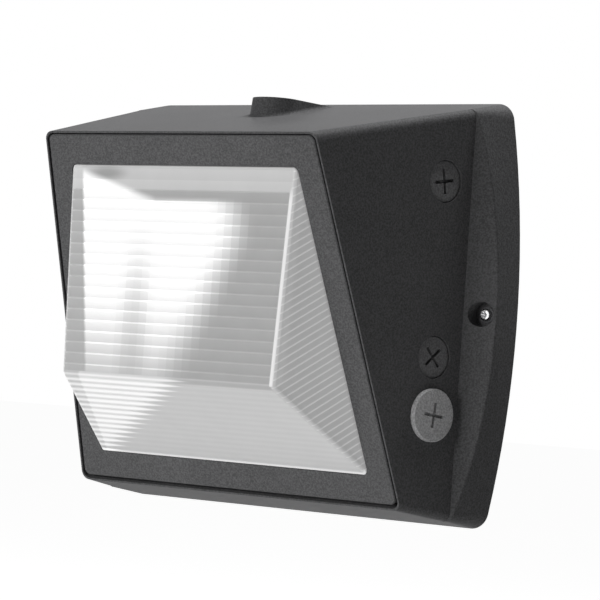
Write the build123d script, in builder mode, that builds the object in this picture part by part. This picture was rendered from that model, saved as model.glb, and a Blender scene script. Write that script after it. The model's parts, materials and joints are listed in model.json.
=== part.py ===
from build123d import *

import os
from math import hypot

os.makedirs("parts", exist_ok=True)

# Wall pack light, millimetres. The wall is the plane Y = 0 and the lamp stands out from it
# towards -Y. +X is the viewer's right, +Z is up. The origin is the centre of the wire entry
# in the wall plate, on the wall.

# ---------------------------------------------------------------- housing, outside
HALF_HEIGHT = 108.5      # at the wall, top and bottom
HALF_WIDTH = 118.0       # side panels, carried back to the wall
SIDE_DRAFT = 0.251       # side panels close in by this much for each mm of depth
TOP_DRAFT = 0.225
BOTTOM_DRAFT = 0.145
RIM_DEPTH = 95.8         # rim plane at mid height
RIM_SLANT = 0.383        # rim plane gains this much depth for each mm of height
SLANT = hypot(1.0, RIM_SLANT)
CASTING_REACH = 150.0    # depth the body is drawn to before the rim plane trims it
BODY_CORNER_R = 4.5      # long edges between the side panels and the top and bottom
HOLLOW_R = 3.0           # corners of the hollows

# barrel-sided flange against the wall, with a crescent ledge on each side
BARREL_BOW = 9.7         # its sides bow out past the side panels
REAR_CORNER_IN = 1.5     # its corners stand in from them, at the wall and in front
FRONT_TOP_IN = 6.8
FRONT_BOTTOM_IN = 6.0
BARREL_HALF_WIDTH = HALF_WIDTH + BARREL_BOW
BARREL_REAR_CORNER = HALF_WIDTH - REAR_CORNER_IN
BARREL_FRONT_TOP = HALF_WIDTH - FRONT_TOP_IN
BARREL_FRONT_BOTTOM = HALF_WIDTH - FRONT_BOTTOM_IN
LEDGE_DEPTH = 25.5       # where the ledge meets the side panel
LEDGE_TILT = 0.364       # the ledge falls back by this much for each mm outwards
LEDGE_WALL = 3.2
FLANGE_REAR_R = 10.0
FLANGE_EDGE_R = 1.0

# walls
REAR_WALL = 3.6
FRONT_WALL = 2.4

# rim, rebate and bezel frame, measured square to the rim plane
LIP = 0.9
LIP_TOP = 1.1
GAP_SIDE = 1.1
GAP_TOP = 0.9
GAP_BOTTOM = 1.9
FRAME_T = 3.0
LENS_GASKET_T = 1.0
LENS_FLANGE_T = 3.0
MOUTH_GASKET_T = 1.5
REBATE = FRAME_T + LENS_GASKET_T + LENS_FLANGE_T + MOUTH_GASKET_T
SEAT_T = 3.0
SKIRT_W = 3.0
TOP_TAPER = 1.7          # the rebate draws in this much at the top, with the sloping wall
SKIRT_TOP = 1.0          # the skirt stands in from the frame's top edge
RIM_CORNER_R = 4.0
FRAME_EDGE_R = 0.5
FRAME_CORNER_R = 3.3
SKIRT_INNER_R = 2.0

# window: how far its edges stand in from the housing at the wall
TOP_MARGIN = 44.8
BOTTOM_MARGIN = 24.4
SIDE_MARGIN = 39.6       # at mid height
WINDOW_TOP = HALF_HEIGHT - TOP_MARGIN
WINDOW_BOTTOM = BOTTOM_MARGIN - HALF_HEIGHT
WINDOW_HALF = HALF_WIDTH - SIDE_MARGIN
WINDOW_FLARE = 0.1       # wider towards the bottom
WINDOW_R = 3.5

# wedge lens
LENS_CLEARANCE = 0.6
LENS_WALL = 3.0
LENS_FLANGE_W = 5.5
LENS_BLOCK = 45.0        # the wedge is cut from a block this long
NOSE_REACH = 25.5        # the nose in front of the rim plane at mid height
NOSE_RISE = 40.4         # and above the window's lower edge
NOSE_DRAW = 11.1         # its ends stand in from the window's sides
NOSE_DEPTH = RIM_DEPTH + NOSE_REACH
NOSE_HEIGHT = WINDOW_BOTTOM + NOSE_RISE
NOSE_HALF = WINDOW_HALF - NOSE_DRAW

# optical well behind the lens
WELL_GROW = 1.5
WELL_WALL = 2.5
WELL_DEPTH = 34.0        # its floor, behind the rim plane

# conduit entries and their screw plugs
HALF_INCH_R = 10.72
THREE_QUARTER_R = 13.36
PLUG_CLEARANCE = 0.07
HUB_WALL = 2.7
HUB_DEPTH = 11.0
ENTRY_DEPTH = 42.5
UPPER_ENTRY_Z = 64.6
LOWER_ENTRY_Z = -23.2
LARGE_ENTRY_Z = -52.0
PLUG_RECESS = 1.2
PLUG_PROUD = 2.6
PLUG_LENGTH = 9.6
PLUG_CHAMFER = 0.5
CROSS_LENGTH = 12.5
CROSS_WIDTH = 1.6
CROSS_DEPTH = 2.2
ORING_R = 0.85
GROOVE_LEVEL = 3.6       # groove centre below the hub's face
GROOVE_HALF = 0.95
GROOVE_FLOOR = 1.95

# top hub
TOP_HUB_R = 12.2
TOP_HUB_DEPTH = 45.5
TOP_HUB_DROP = 2.75      # its face below the housing's top edge at the wall
TOP_HUB_Z = HALF_HEIGHT - TOP_HUB_DROP
TOP_HUB_DRAFT = 5.0      # degrees, wider towards its foot
TOP_HUB_ROOT = 24.0      # drawn down this far, before the body is hollowed
TOP_HUB_FOOT_R = 2.0
TOP_BOSS_LENGTH = 15.0   # the part round the thread
TOP_PLUG_TURN = 30

# side screws
SCREW_OUT = 2.0          # the screws stand out past the side panels
SCREW_X = HALF_WIDTH + SCREW_OUT
COUNTERBORE_R = 6.35
COUNTERBORE_FLOOR = 16.0
SCREW_BOSS_R = 7.5
POST_TOP = 10.0
POST_R = 3.4
SCREW_R = 2.0
SCREW_HOLE_R = 2.2
SCREW_HEAD_R = 3.0
SCREW_HEAD_T = 2.6
SCREW_ROUND = 1.1
SCREW_SLOT = (3.4, 0.8)  # length and width of each arm of the cross
SCREW_SLOT_DEPTH = 1.5
SCREW_END_Y = 3.5        # the shanks end this far from the wall
WASHER_R = 4.2
WASHER_T = 0.8
RUNNING = 0.05           # radial clearance of a turning shank in its threaded hole

# wall plate
PLATE_T = 2.0
PLATE_CLEARANCE = 0.6
WIRE_ENTRY_R = 11.1
BOX_SLOT_SPACING = 88.9
BOX_SLOT_LENGTH = 18.0
BOX_SLOT_R = 2.6
FIX_SPACING_X = 160.0
FIX_SPACING_Z = 150.0
FIX_HOLE_R = 2.75

HANG_TAB_X = 50.0
HANG_TAB_W = 24.0
HANG_TAB_END = 12.0
HANG_TAB_GAP = 0.5
HANG_TAB_T = 2.0

# gaskets
WALL_GASKET_T = 2.0
WALL_GASKET_IN = 0.9
WALL_GASKET_W = 1.8
MOUTH_GASKET_CLEARANCE = 0.4

# cutters run past what they cut
PAST = 1.0
CUT_REACH = 40.0

# M3 pan-head screws used inside
M3_R = 1.5
M3_HEAD_R = 2.8
M3_HEAD_T = 2.0
M3_SLOT = (3.2, 0.8)
M3_SLOT_DEPTH = 1.2
M3_CLEARANCE = 0.2
M3_WASHER_R = 4.5
M3_WASHER_T = 0.8
M3_LENGTH = 8.0
PILOT_DEPTH = 1.5        # pilot holes run this far into the floor of the well
SCREW_END_GAP = 0.5      # and the screws stop this far short of their ends
PAD_R = 3.5
FRAME_BOSS_R = 3.4
FRAME_BOSS_CLEARANCE = 0.3
FRAME_BOSS_SHORT = 0.3   # the bosses stop short of the back of the seat

# light engine, placed along the slope of the rim plane
WINDOW_V = (WINDOW_TOP + WINDOW_BOTTOM) / 2 * SLANT
WINDOW_H = (WINDOW_TOP - WINDOW_BOTTOM) * SLANT
BOARD_W = 2 * 0.663 * WINDOW_HALF
BOARD_H = 0.38 * WINDOW_H
BOARD_T = 1.6
BOARD_CORNER_R = 2.0
BOARD_MARGIN = 1.5       # round the board, in the reflector's floor
PAD_T = 0.5
BOARD_V = WINDOW_V + 0.208 * WINDOW_H
BOARD_SCREW_INSET = 5.0
LED_SIZE = 3.5
LED_T = 0.9
LED_COLUMNS = 7
LED_ROWS = 3
LED_PITCH_X = 13.0
LED_PITCH_V = 15.0
LED_RISE = 3.0           # the packages sit this far above the board's middle
CONNECTOR_V = BOARD_V - BOARD_H / 2 + BOARD_SCREW_INSET
CONNECTOR_W = 9.0
CONNECTOR_H = 6.0
CONNECTOR_T = 4.5
CONNECTOR_POCKET = 3.0

REFLECTOR_PAD = 1.4
REFLECTOR_FLOOR = WELL_DEPTH - REFLECTOR_PAD
REFLECTOR_TOP = 9.2
REFLECTOR_DRAW = 9.0     # the floor is drawn in from the window
REFLECTOR_FLARE = 0.8
SHEET_T = 1.0
LEAD_WINDOW = (20.0, 24.0)

# driver, terminal block and leads on the back of the well
DRIVER_X = 10.0
DRIVER_W = BOARD_W
DRIVER_H = 50.0
DRIVER_T = 26.0
DRIVER_CORNER_R = 3.0
DRIVER_EAR = 10.0
DRIVER_EAR_H = 25.0
DRIVER_EAR_T = 3.0
DRIVER_STANDOFF = 3.0
BLOCK_X = 24.0
BLOCK_RISE = 42.0        # above the window's lower edge
BLOCK_V = WINDOW_BOTTOM * SLANT + BLOCK_RISE
BLOCK_W = 58.0
BLOCK_H = 20.0
BLOCK_BASE_T = 4.0
BLOCK_T = 16.0
BLOCK_SCREW_X = 24.0
BLOCK_POLE_W = 11.0
BLOCK_POLE_V = -2.0
BLOCK_STEP = 2.0         # the raised part stands in from the base
BLOCK_ENTRY_DEPTH = 8.0
BLOCK_ENTRY_W = 3.4
CLAMP_HOLE_R = 2.4
CLAMP_HOLE_DEPTH = 3.0
CLAMP_SCREW_R = 2.1
CLAMP_SCREW_T = 2.0
CLAMP_SLOT = (3.4, 0.7)
CLAMP_SLOT_DEPTH = 0.9
LEAD_R = 0.9
LEAD_CLEARANCE = 0.1
LEAD_BEND = 3.6
LEAD_GAP = 2.6
LEAD_LEVEL = 2.2         # height of the leads above the board
MAINS_R = 1.3
SUPPLY_BEND = 12.0
SUPPLY_TURNS = (0.67, 0.33)  # where the leads bend, as shares of their way to the driver
GROUND_BEND = 8.0
GROUND_TURN = 0.64
GROUND_TAG_T = 0.8
GROUND_TAG_R = 4.2
GROUND_TAIL = (3.0, 7.0) # width and length, crimped round the lead
GROUND_TAIL_V = 5.0      # its middle above the screw
GROUND_LEAD_END = 6.0
LEAD_HOLE_R = 3.6
LEAD_HOLE_DROP = 7.0     # below the board's lower edge
GROMMET_LIP = 1.3
GROMMET_LIP_T = 1.1
LEAD_EXIT = 12.5         # where the leads leave the driver, out from its back

# how far the frame screws stand in from the corners of the rim: across, then along the slope
FRAME_SCREW_TOP = (6.8, 9.5)
FRAME_SCREW_BOTTOM = (8.6, 8.9)

# and the reflector's screws from the edges of the window
REFLECTOR_SCREW_TOP = (18.4, 24.0)
REFLECTOR_SCREW_BOTTOM = (14.4, 28.0)

# positions along the slope: X, then height along the slope
REFLECTOR_SCREWS = [
    (sign * (WINDOW_HALF - side), v)
    for side, v in (
        (REFLECTOR_SCREW_TOP[0], WINDOW_TOP * SLANT - REFLECTOR_SCREW_TOP[1]),
        (REFLECTOR_SCREW_BOTTOM[0], WINDOW_BOTTOM * SLANT + REFLECTOR_SCREW_BOTTOM[1]),
    )
    for sign in (-1, 1)
]
BOARD_SCREWS = [
    (x * (BOARD_W / 2 - BOARD_SCREW_INSET), BOARD_V + y * (BOARD_H / 2 - BOARD_SCREW_INSET))
    for y in (-1, 1)
    for x in (-1, 1)
]
DRIVER_SCREW_X = (DRIVER_W + DRIVER_EAR) / 2
DRIVER_SCREWS = [(DRIVER_X + sign * DRIVER_SCREW_X, BOARD_V) for sign in (-1, 1)]
BLOCK_SCREWS = [(BLOCK_X + sign * BLOCK_SCREW_X, BLOCK_V) for sign in (-1, 1)]
BLOCK_POLES = [(BLOCK_X + step * BLOCK_POLE_W, BLOCK_V + BLOCK_POLE_V) for step in (-1, 0, 1)]
GROUND_SCREW = (62.0, BLOCK_V + 4.0)
LEAD_HOLE = (-30.0, BOARD_V - BOARD_H / 2 - LEAD_HOLE_DROP)


# ---------------------------------------------------------------- planes and outlines
def at_depth(depth):
    """Plane parallel to the wall; local x is X and local y is Z."""
    return Plane.XZ.offset(depth)


def rim_plane(rise=0.0):
    """Plane parallel to the slanted rim; local y runs up the slope."""
    rim = Plane(origin=(0, -RIM_DEPTH, 0), x_dir=(1, 0, 0), z_dir=(0, -1, -RIM_SLANT))
    return rim.offset(rise)


def rim_axis():
    return Axis(rim_plane().origin, rim_plane().z_dir)


def side_plane(sign, depth, height):
    """Plane on a side panel, facing out; local x is up."""
    x = sign * (HALF_WIDTH - SIDE_DRAFT * depth)
    return Plane(origin=(x, -depth, height), x_dir=(0, 0, 1), z_dir=(sign, -SIDE_DRAFT, 0))


def outline(plane, points, radius):
    """Closed polygon with rounded corners."""
    with BuildSketch(plane) as shape:
        with BuildLine():
            Polyline(*points, close=True)
        make_face()
        fillet(shape.vertices(), radius)
    return shape.sketch


def body_outline(depth, inset, radius):
    """Section of the tapered body at a depth."""
    half = HALF_WIDTH - SIDE_DRAFT * depth - inset
    top = HALF_HEIGHT - TOP_DRAFT * depth - inset
    bottom = -HALF_HEIGHT + BOTTOM_DRAFT * depth + inset
    points = [(-half, bottom), (half, bottom), (half, top), (-half, top)]
    return outline(at_depth(depth), points, radius)


def barrel_outline(depth, top_half, bottom_half, inset, radius):
    """Section of the flange, with its bowed sides."""
    top = HALF_HEIGHT - TOP_DRAFT * depth
    bottom = -HALF_HEIGHT + BOTTOM_DRAFT * depth
    with BuildSketch(at_depth(depth)) as shape:
        with BuildLine():
            Line((-top_half, top), (top_half, top))
            ThreePointArc((top_half, top), (BARREL_HALF_WIDTH, 0), (bottom_half, bottom))
            Line((bottom_half, bottom), (-bottom_half, bottom))
            ThreePointArc((-bottom_half, bottom), (-BARREL_HALF_WIDTH, 0), (-top_half, top))
        make_face()
        if inset:
            offset(amount=-inset, kind=Kind.INTERSECTION, mode=Mode.REPLACE)
        fillet(shape.vertices(), radius)
    return shape.sketch


def rear_barrel(inset, radius):
    return barrel_outline(0, BARREL_REAR_CORNER, BARREL_REAR_CORNER, inset, radius)


def front_barrel(inset, radius):
    return barrel_outline(LEDGE_DEPTH, BARREL_FRONT_TOP, BARREL_FRONT_BOTTOM, inset, radius)


def rim_points(side, top, bottom):
    """Corners of the body on the rim plane, drawn in from its outer edges."""
    z_top = (HALF_HEIGHT - TOP_DRAFT * RIM_DEPTH) / (1 + TOP_DRAFT * RIM_SLANT)
    z_bottom = (BOTTOM_DRAFT * RIM_DEPTH - HALF_HEIGHT) / (1 - BOTTOM_DRAFT * RIM_SLANT)
    corners = []
    for z, v in ((z_bottom, z_bottom * SLANT + bottom), (z_top, z_top * SLANT - top)):
        depth = RIM_DEPTH + RIM_SLANT * v / SLANT
        corners.append((HALF_WIDTH - SIDE_DRAFT * depth - side, v))
    (low, v_low), (high, v_high) = corners
    return [(-low, v_low), (low, v_low), (high, v_high), (-high, v_high)]


def rim_outline(rise, side, top, bottom, radius):
    return outline(rim_plane(rise), rim_points(side, top, bottom), radius)


def window_outline(rise, grow):
    """The window, grown outwards all round."""
    v_top = WINDOW_TOP * SLANT + grow
    v_bottom = WINDOW_BOTTOM * SLANT - grow
    high = WINDOW_HALF - WINDOW_FLARE * v_top / SLANT + grow
    low = WINDOW_HALF - WINDOW_FLARE * v_bottom / SLANT + grow
    points = [(-low, v_bottom), (low, v_bottom), (high, v_top), (-high, v_top)]
    return outline(rim_plane(rise), points, max(WINDOW_R + grow, 1.0))


def half_space_prism(sign, back):
    """Prism in front of the ledge plane on one side, shifted back by a distance."""
    start = HALF_WIDTH - SIDE_DRAFT * LEDGE_DEPTH
    x_in, x_out = start - CUT_REACH, start + CUT_REACH
    d_in = LEDGE_DEPTH - back + LEDGE_TILT * CUT_REACH
    d_out = LEDGE_DEPTH - back - LEDGE_TILT * CUT_REACH
    d_far = LEDGE_DEPTH + CUT_REACH
    with BuildPart() as prism:
        with BuildSketch(Plane.XY):
            with BuildLine():
                Polyline(
                    (sign * x_in, -d_in),
                    (sign * x_out, -d_out),
                    (sign * x_out, -d_far),
                    (sign * x_in, -d_far),
                    close=True,
                )
            make_face()
        extrude(amount=HALF_HEIGHT + CUT_REACH, both=True)
    return prism.part


def wall_gasket_ring():
    outer = WALL_GASKET_IN
    inner = WALL_GASKET_IN + WALL_GASKET_W
    with BuildSketch(at_depth(0)) as ring:
        add(rear_barrel(outer, FLANGE_REAR_R - outer))
        add(rear_barrel(inner, FLANGE_REAR_R - inner), mode=Mode.SUBTRACT)
    return ring.sketch


def on_top_slope(edge):
    """Whether an edge near the top hub lies in the sloping top face."""
    return all(
        abs(point.Z - HALF_HEIGHT - TOP_DRAFT * point.Y) < 0.001
        and abs(point.X) < 2 * TOP_HUB_R
        for point in (edge @ 0, edge @ 0.5, edge @ 1)
    )


def wedge_planes(inset):
    """Faces of the wedge lens, pointing out, each moved in by a distance."""
    v_top = WINDOW_TOP * SLANT - LENS_CLEARANCE
    v_bottom = WINDOW_BOTTOM * SLANT + LENS_CLEARANCE
    high = WINDOW_HALF - WINDOW_FLARE * v_top / SLANT - LENS_CLEARANCE
    low = WINDOW_HALF - WINDOW_FLARE * v_bottom / SLANT - LENS_CLEARANCE
    rim = rim_plane()
    across = Vector(1, 0, 0)
    top = rim.from_local_coords(Vector(0, v_top, 0))
    nose = Vector(0, -NOSE_DEPTH, NOSE_HEIGHT)
    bottom = rim.from_local_coords(Vector(0, v_bottom, 0))
    planes = [
        Plane(origin=nose, x_dir=across, z_dir=across.cross(top - nose)),
        Plane(origin=nose, x_dir=across, z_dir=across.cross(nose - bottom)),
    ]
    for sign in (-1, 1):
        upper = top + across * sign * high
        lower = bottom + across * sign * low
        tip = nose + across * sign * NOSE_HALF
        outward = (tip - upper).cross(lower - upper) * sign
        planes.append(Plane(origin=tip, x_dir=upper - tip, z_dir=outward))
    return [plane.offset(-inset) for plane in planes]


def cross_slot(plane, positions, length, width, turn=0):
    """Sketch of a cross-shaped driver slot at each position, turned in the plane."""
    with BuildSketch(plane) as slots:
        with Locations(*positions):
            Rectangle(length, width, rotation=turn)
            Rectangle(width, length, rotation=turn)
    return slots.sketch


def discs(plane, positions, radius):
    with BuildSketch(plane) as shapes:
        with Locations(*positions):
            Circle(radius)
    return shapes.sketch


def screws(plane, positions, side, length):
    """Pan-head screws; heads stand on the plane to one side, shanks run to the other."""
    top = plane.offset(side * M3_HEAD_T)
    extrude(discs(plane, positions, M3_HEAD_R), amount=side * M3_HEAD_T)
    extrude(discs(plane, positions, M3_R), amount=-side * length)
    slots = cross_slot(top, positions, *M3_SLOT)
    extrude(slots, amount=-side * M3_SLOT_DEPTH, mode=Mode.SUBTRACT)


def slope_point(x, v, w):
    """A point given along the slope of the rim plane and out from it."""
    return rim_plane().from_local_coords(Vector(x, v, w))


def lead(points, radius, bend):
    """Round lead along a route with rounded turns."""
    with BuildLine() as route:
        FilletPolyline(*[slope_point(*point) for point in points], radius=bend)
    start = Plane(origin=route.wire() @ 0, z_dir=route.wire() % 0)
    sweep(discs(start, [(0, 0)], radius), path=route.wire())


def save(piece, name):
    piece.part.label = name
    export_step(piece.part, f"parts/{name}.step")


(low, v_low), (high, v_high) = rim_points(0, 0, 0)[1:3]
FRAME_SCREWS = [
    (sign * (corner - inset[0]), v + rise * inset[1])
    for corner, v, inset, rise in (
        (high, v_high, FRAME_SCREW_TOP, -1),
        (low, v_low, FRAME_SCREW_BOTTOM, 1),
    )
    for sign in (-1, 1)
]

ENTRIES = {
    "upper_plug_right": (1, UPPER_ENTRY_Z, HALF_INCH_R, -PLUG_RECESS, 10),
    "lower_plug_right": (1, LOWER_ENTRY_Z, HALF_INCH_R, -PLUG_RECESS, 42),
    "large_plug_right": (1, LARGE_ENTRY_Z, THREE_QUARTER_R, PLUG_PROUD, -7),
    "upper_plug_left": (-1, UPPER_ENTRY_Z, HALF_INCH_R, -PLUG_RECESS, 20),
    "lower_plug_left": (-1, LOWER_ENTRY_Z, HALF_INCH_R, -PLUG_RECESS, -15),
}

# ---------------------------------------------------------------- housing
# hollow of the flange, kept behind the ledge wall
with BuildPart() as flange_hollow:
    rear_corner = FLANGE_REAR_R - HOLLOW_R
    loft([rear_barrel(REAR_WALL, rear_corner), front_barrel(REAR_WALL, HOLLOW_R)], ruled=True)
    for sign in (-1, 1):
        add(half_space_prism(sign, LEDGE_WALL), mode=Mode.SUBTRACT)

# flange with its ledges and the bosses of the side screws
with BuildPart() as flange:
    loft([rear_barrel(0, FLANGE_REAR_R), front_barrel(0, BODY_CORNER_R)], ruled=True)
    add(flange_hollow.part, mode=Mode.SUBTRACT)
    with BuildSketch(at_depth(POST_TOP)):
        with Locations((-SCREW_X, 0), (SCREW_X, 0)):
            Circle(SCREW_BOSS_R)
    extrude(amount=LEDGE_DEPTH - POST_TOP)
    for sign in (-1, 1):
        add(half_space_prism(sign, 0), mode=Mode.SUBTRACT)
    # outer edge of each ledge: the one furthest out on its side, in front of the posts
    for side in (0, -1):
        front_edges = flange.edges().filter_by(lambda edge: (edge @ 0.5).Y < -POST_TOP)
        fillet(front_edges.sort_by(Axis.X)[side], FLANGE_EDGE_R)

# hollow of the body, kept behind the seat of the bezel frame
with BuildPart() as body_hollow:
    loft(
        [
            body_outline(0, REAR_WALL, HOLLOW_R),
            body_outline(CASTING_REACH, FRONT_WALL, HOLLOW_R),
        ],
        ruled=True,
    )
    split(bisect_by=rim_plane(-REBATE - SEAT_T), keep=Keep.BOTTOM)

with BuildPart() as housing:
    add(flange.part)
    loft(
        [
            body_outline(LEDGE_DEPTH, 0, BODY_CORNER_R),
            body_outline(CASTING_REACH, 0, BODY_CORNER_R),
        ],
        ruled=True,
    )
    # U-shaped hub on the top, level on top and running back into the rising wall
    with BuildSketch(Plane.XY.offset(TOP_HUB_Z)):
        with Locations((0, -TOP_HUB_DEPTH)):
            Circle(TOP_HUB_R)
        with Locations((0, -(TOP_HUB_DEPTH + REAR_WALL) / 2)):
            Rectangle(2 * TOP_HUB_R, TOP_HUB_DEPTH - REAR_WALL)
    extrude(amount=-TOP_HUB_ROOT, taper=-TOP_HUB_DRAFT)
    fillet(housing.edges().filter_by(on_top_slope), TOP_HUB_FOOT_R)
    add(body_hollow.part, mode=Mode.SUBTRACT)
    split(bisect_by=rim_plane(), keep=Keep.BOTTOM)
    # rebate for the bezel frame
    loft(
        [
            rim_outline(0, LIP, LIP_TOP, LIP, RIM_CORNER_R),
            rim_outline(-REBATE, LIP, LIP_TOP + TOP_TAPER, LIP, RIM_CORNER_R),
        ],
        ruled=True,
        mode=Mode.SUBTRACT,
    )
    # optical well
    extrude(
        window_outline(-REBATE - SEAT_T, WELL_GROW + WELL_WALL),
        amount=-(WELL_DEPTH + WELL_WALL - REBATE - SEAT_T),
    )
    extrude(window_outline(0, WELL_GROW), amount=-WELL_DEPTH, mode=Mode.SUBTRACT)
    # pads inside the well for the reflector, and behind its floor for the driver
    with BuildSketch(rim_plane(-WELL_DEPTH)):
        with Locations(*REFLECTOR_SCREWS):
            Circle(PAD_R)
    extrude(amount=WELL_DEPTH - REFLECTOR_FLOOR)
    with BuildSketch(rim_plane(-WELL_DEPTH - WELL_WALL)):
        with Locations(*DRIVER_SCREWS, *BLOCK_SCREWS, GROUND_SCREW):
            Circle(PAD_R)
    extrude(amount=-DRIVER_STANDOFF)
    with BuildSketch(rim_plane(-REFLECTOR_FLOOR)):
        with Locations(*REFLECTOR_SCREWS):
            Circle(M3_R + RUNNING)
    extrude(amount=-M3_LENGTH, mode=Mode.SUBTRACT)
    with BuildSketch(rim_plane(-WELL_DEPTH)):
        with Locations(*BOARD_SCREWS):
            Circle(M3_R + RUNNING)
        with Locations(LEAD_HOLE):
            Circle(LEAD_HOLE_R)
    extrude(amount=-WELL_WALL, mode=Mode.SUBTRACT)
    with BuildSketch(rim_plane(-WELL_DEPTH - WELL_WALL - DRIVER_STANDOFF)):
        with Locations(*DRIVER_SCREWS, *BLOCK_SCREWS, GROUND_SCREW):
            Circle(M3_R + RUNNING)
    extrude(amount=DRIVER_STANDOFF + PILOT_DEPTH, mode=Mode.SUBTRACT)
    # holes in the seat for the bosses of the bezel frame
    with BuildSketch(rim_plane(-REBATE)):
        with Locations(*FRAME_SCREWS):
            Circle(FRAME_BOSS_R + FRAME_BOSS_CLEARANCE)
    extrude(amount=-SEAT_T, mode=Mode.SUBTRACT)
    # inner part of the top hub, then its threaded hole
    with BuildSketch(Plane.XY.offset(TOP_HUB_Z)):
        with Locations((0, -TOP_HUB_DEPTH)):
            Circle(TOP_HUB_R)
    extrude(amount=-TOP_BOSS_LENGTH)
    with BuildSketch(Plane.XY.offset(TOP_HUB_Z)):
        with Locations((0, -TOP_HUB_DEPTH)):
            Circle(HALF_INCH_R)
    extrude(amount=-TOP_BOSS_LENGTH - PAST, mode=Mode.SUBTRACT)
    # side hubs, then their threaded holes
    for sign, height, radius, _, _ in ENTRIES.values():
        with BuildSketch(side_plane(sign, ENTRY_DEPTH, height)):
            Circle(radius + HUB_WALL)
        extrude(amount=-HUB_DEPTH)
    for sign, height, radius, _, _ in ENTRIES.values():
        with BuildSketch(side_plane(sign, ENTRY_DEPTH, height).offset(PAST)):
            Circle(radius)
        extrude(amount=-HUB_DEPTH - 2 * PAST, mode=Mode.SUBTRACT)
    # counterbored holes of the side screws
    with BuildSketch(at_depth(COUNTERBORE_FLOOR)):
        with Locations((-SCREW_X, 0), (SCREW_X, 0)):
            Circle(COUNTERBORE_R)
    extrude(amount=LEDGE_DEPTH, mode=Mode.SUBTRACT)
    with BuildSketch(at_depth(POST_TOP)):
        with Locations((-SCREW_X, 0), (SCREW_X, 0)):
            Circle(SCREW_HOLE_R)
    extrude(amount=LEDGE_DEPTH, mode=Mode.SUBTRACT)
    # groove of the wall gasket in the rear edge
    extrude(wall_gasket_ring(), amount=WALL_GASKET_T, mode=Mode.SUBTRACT)
save(housing, "housing")

with BuildPart() as wall_gasket:
    extrude(wall_gasket_ring(), amount=WALL_GASKET_T)
save(wall_gasket, "wall_gasket")

# ---------------------------------------------------------------- bezel frame and its gaskets
FRAME_INSETS = (LIP + GAP_SIDE, LIP_TOP + GAP_TOP, LIP + GAP_BOTTOM)
SKIRT_INSETS = (FRAME_INSETS[0], FRAME_INSETS[1] + SKIRT_TOP, FRAME_INSETS[2])
SKIRT_END = REBATE - MOUTH_GASKET_T

with BuildPart() as bezel_frame:
    extrude(rim_outline(0, *FRAME_INSETS, FRAME_CORNER_R), amount=-FRAME_T)
    front = bezel_frame.faces().sort_by(rim_axis())[-1]
    chamfer(front.edges(), FRAME_EDGE_R)
    inner = [inset + SKIRT_W for inset in SKIRT_INSETS]
    skirt = rim_outline(-FRAME_T, *SKIRT_INSETS, FRAME_CORNER_R)
    extrude(skirt, amount=-(SKIRT_END - FRAME_T))
    extrude(
        rim_outline(-FRAME_T, *inner, SKIRT_INNER_R),
        amount=-(SKIRT_END - FRAME_T),
        mode=Mode.SUBTRACT,
    )
    with BuildSketch(rim_plane(-FRAME_T)):
        with Locations(*FRAME_SCREWS):
            Circle(FRAME_BOSS_R)
    extrude(amount=-(REBATE + SEAT_T - FRAME_BOSS_SHORT - FRAME_T))
    with BuildSketch(rim_plane(-REBATE - SEAT_T)):
        with Locations(*FRAME_SCREWS):
            Circle(M3_R + RUNNING)
    extrude(amount=M3_LENGTH, mode=Mode.SUBTRACT)
    extrude(window_outline(0, 0), amount=-FRAME_T, mode=Mode.SUBTRACT)
save(bezel_frame, "bezel_frame")

with BuildPart() as mouth_gasket:
    edge = MOUTH_GASKET_CLEARANCE
    side, top = LIP + edge, LIP_TOP + TOP_TAPER + edge
    extrude(rim_outline(-REBATE, side, top, side, FRAME_CORNER_R), amount=MOUTH_GASKET_T)
    extrude(window_outline(-REBATE, WELL_GROW + edge), amount=MOUTH_GASKET_T, mode=Mode.SUBTRACT)
    with BuildSketch(rim_plane(-REBATE)):
        with Locations(*FRAME_SCREWS):
            Circle(FRAME_BOSS_R + FRAME_BOSS_CLEARANCE)
    extrude(amount=MOUTH_GASKET_T, mode=Mode.SUBTRACT)
save(mouth_gasket, "mouth_gasket")

with BuildPart() as lens_gasket:
    extrude(window_outline(-FRAME_T, LENS_FLANGE_W), amount=-LENS_GASKET_T)
    extrude(window_outline(-FRAME_T, LENS_CLEARANCE), amount=-LENS_GASKET_T, mode=Mode.SUBTRACT)
save(lens_gasket, "lens_gasket")

with BuildPart() as frame_washers:
    with BuildSketch(rim_plane(-REBATE - SEAT_T)):
        with Locations(*FRAME_SCREWS):
            Circle(M3_WASHER_R)
            Circle(M3_R + M3_CLEARANCE, mode=Mode.SUBTRACT)
    extrude(amount=-M3_WASHER_T)
save(frame_washers, "frame_washers")

with BuildPart() as frame_screws:
    screws(rim_plane(-REBATE - SEAT_T - M3_WASHER_T), FRAME_SCREWS, -1, M3_LENGTH)
save(frame_screws, "frame_screws")

# ---------------------------------------------------------------- wedge lens
with BuildPart() as lens_hollow:
    extrude(window_outline(-SKIRT_END, -LENS_CLEARANCE - LENS_WALL), amount=LENS_BLOCK)
    for plane in wedge_planes(LENS_WALL):
        split(bisect_by=plane, keep=Keep.BOTTOM)

with BuildPart() as lens:
    extrude(window_outline(0, -LENS_CLEARANCE), amount=LENS_BLOCK)
    for plane in wedge_planes(0):
        split(bisect_by=plane, keep=Keep.BOTTOM)
    extrude(window_outline(0, -LENS_CLEARANCE), amount=-SKIRT_END)
    extrude(window_outline(-SKIRT_END, LENS_FLANGE_W), amount=LENS_FLANGE_T)
    add(lens_hollow.part, mode=Mode.SUBTRACT)
save(lens, "lens")

# ---------------------------------------------------------------- light engine
with BuildPart() as thermal_pad:
    with BuildSketch(rim_plane(-WELL_DEPTH)):
        with Locations((0, BOARD_V)):
            Rectangle(BOARD_W, BOARD_H)
        with Locations(*BOARD_SCREWS):
            Circle(M3_R + M3_CLEARANCE, mode=Mode.SUBTRACT)
    extrude(amount=PAD_T)
save(thermal_pad, "thermal_pad")

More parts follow.
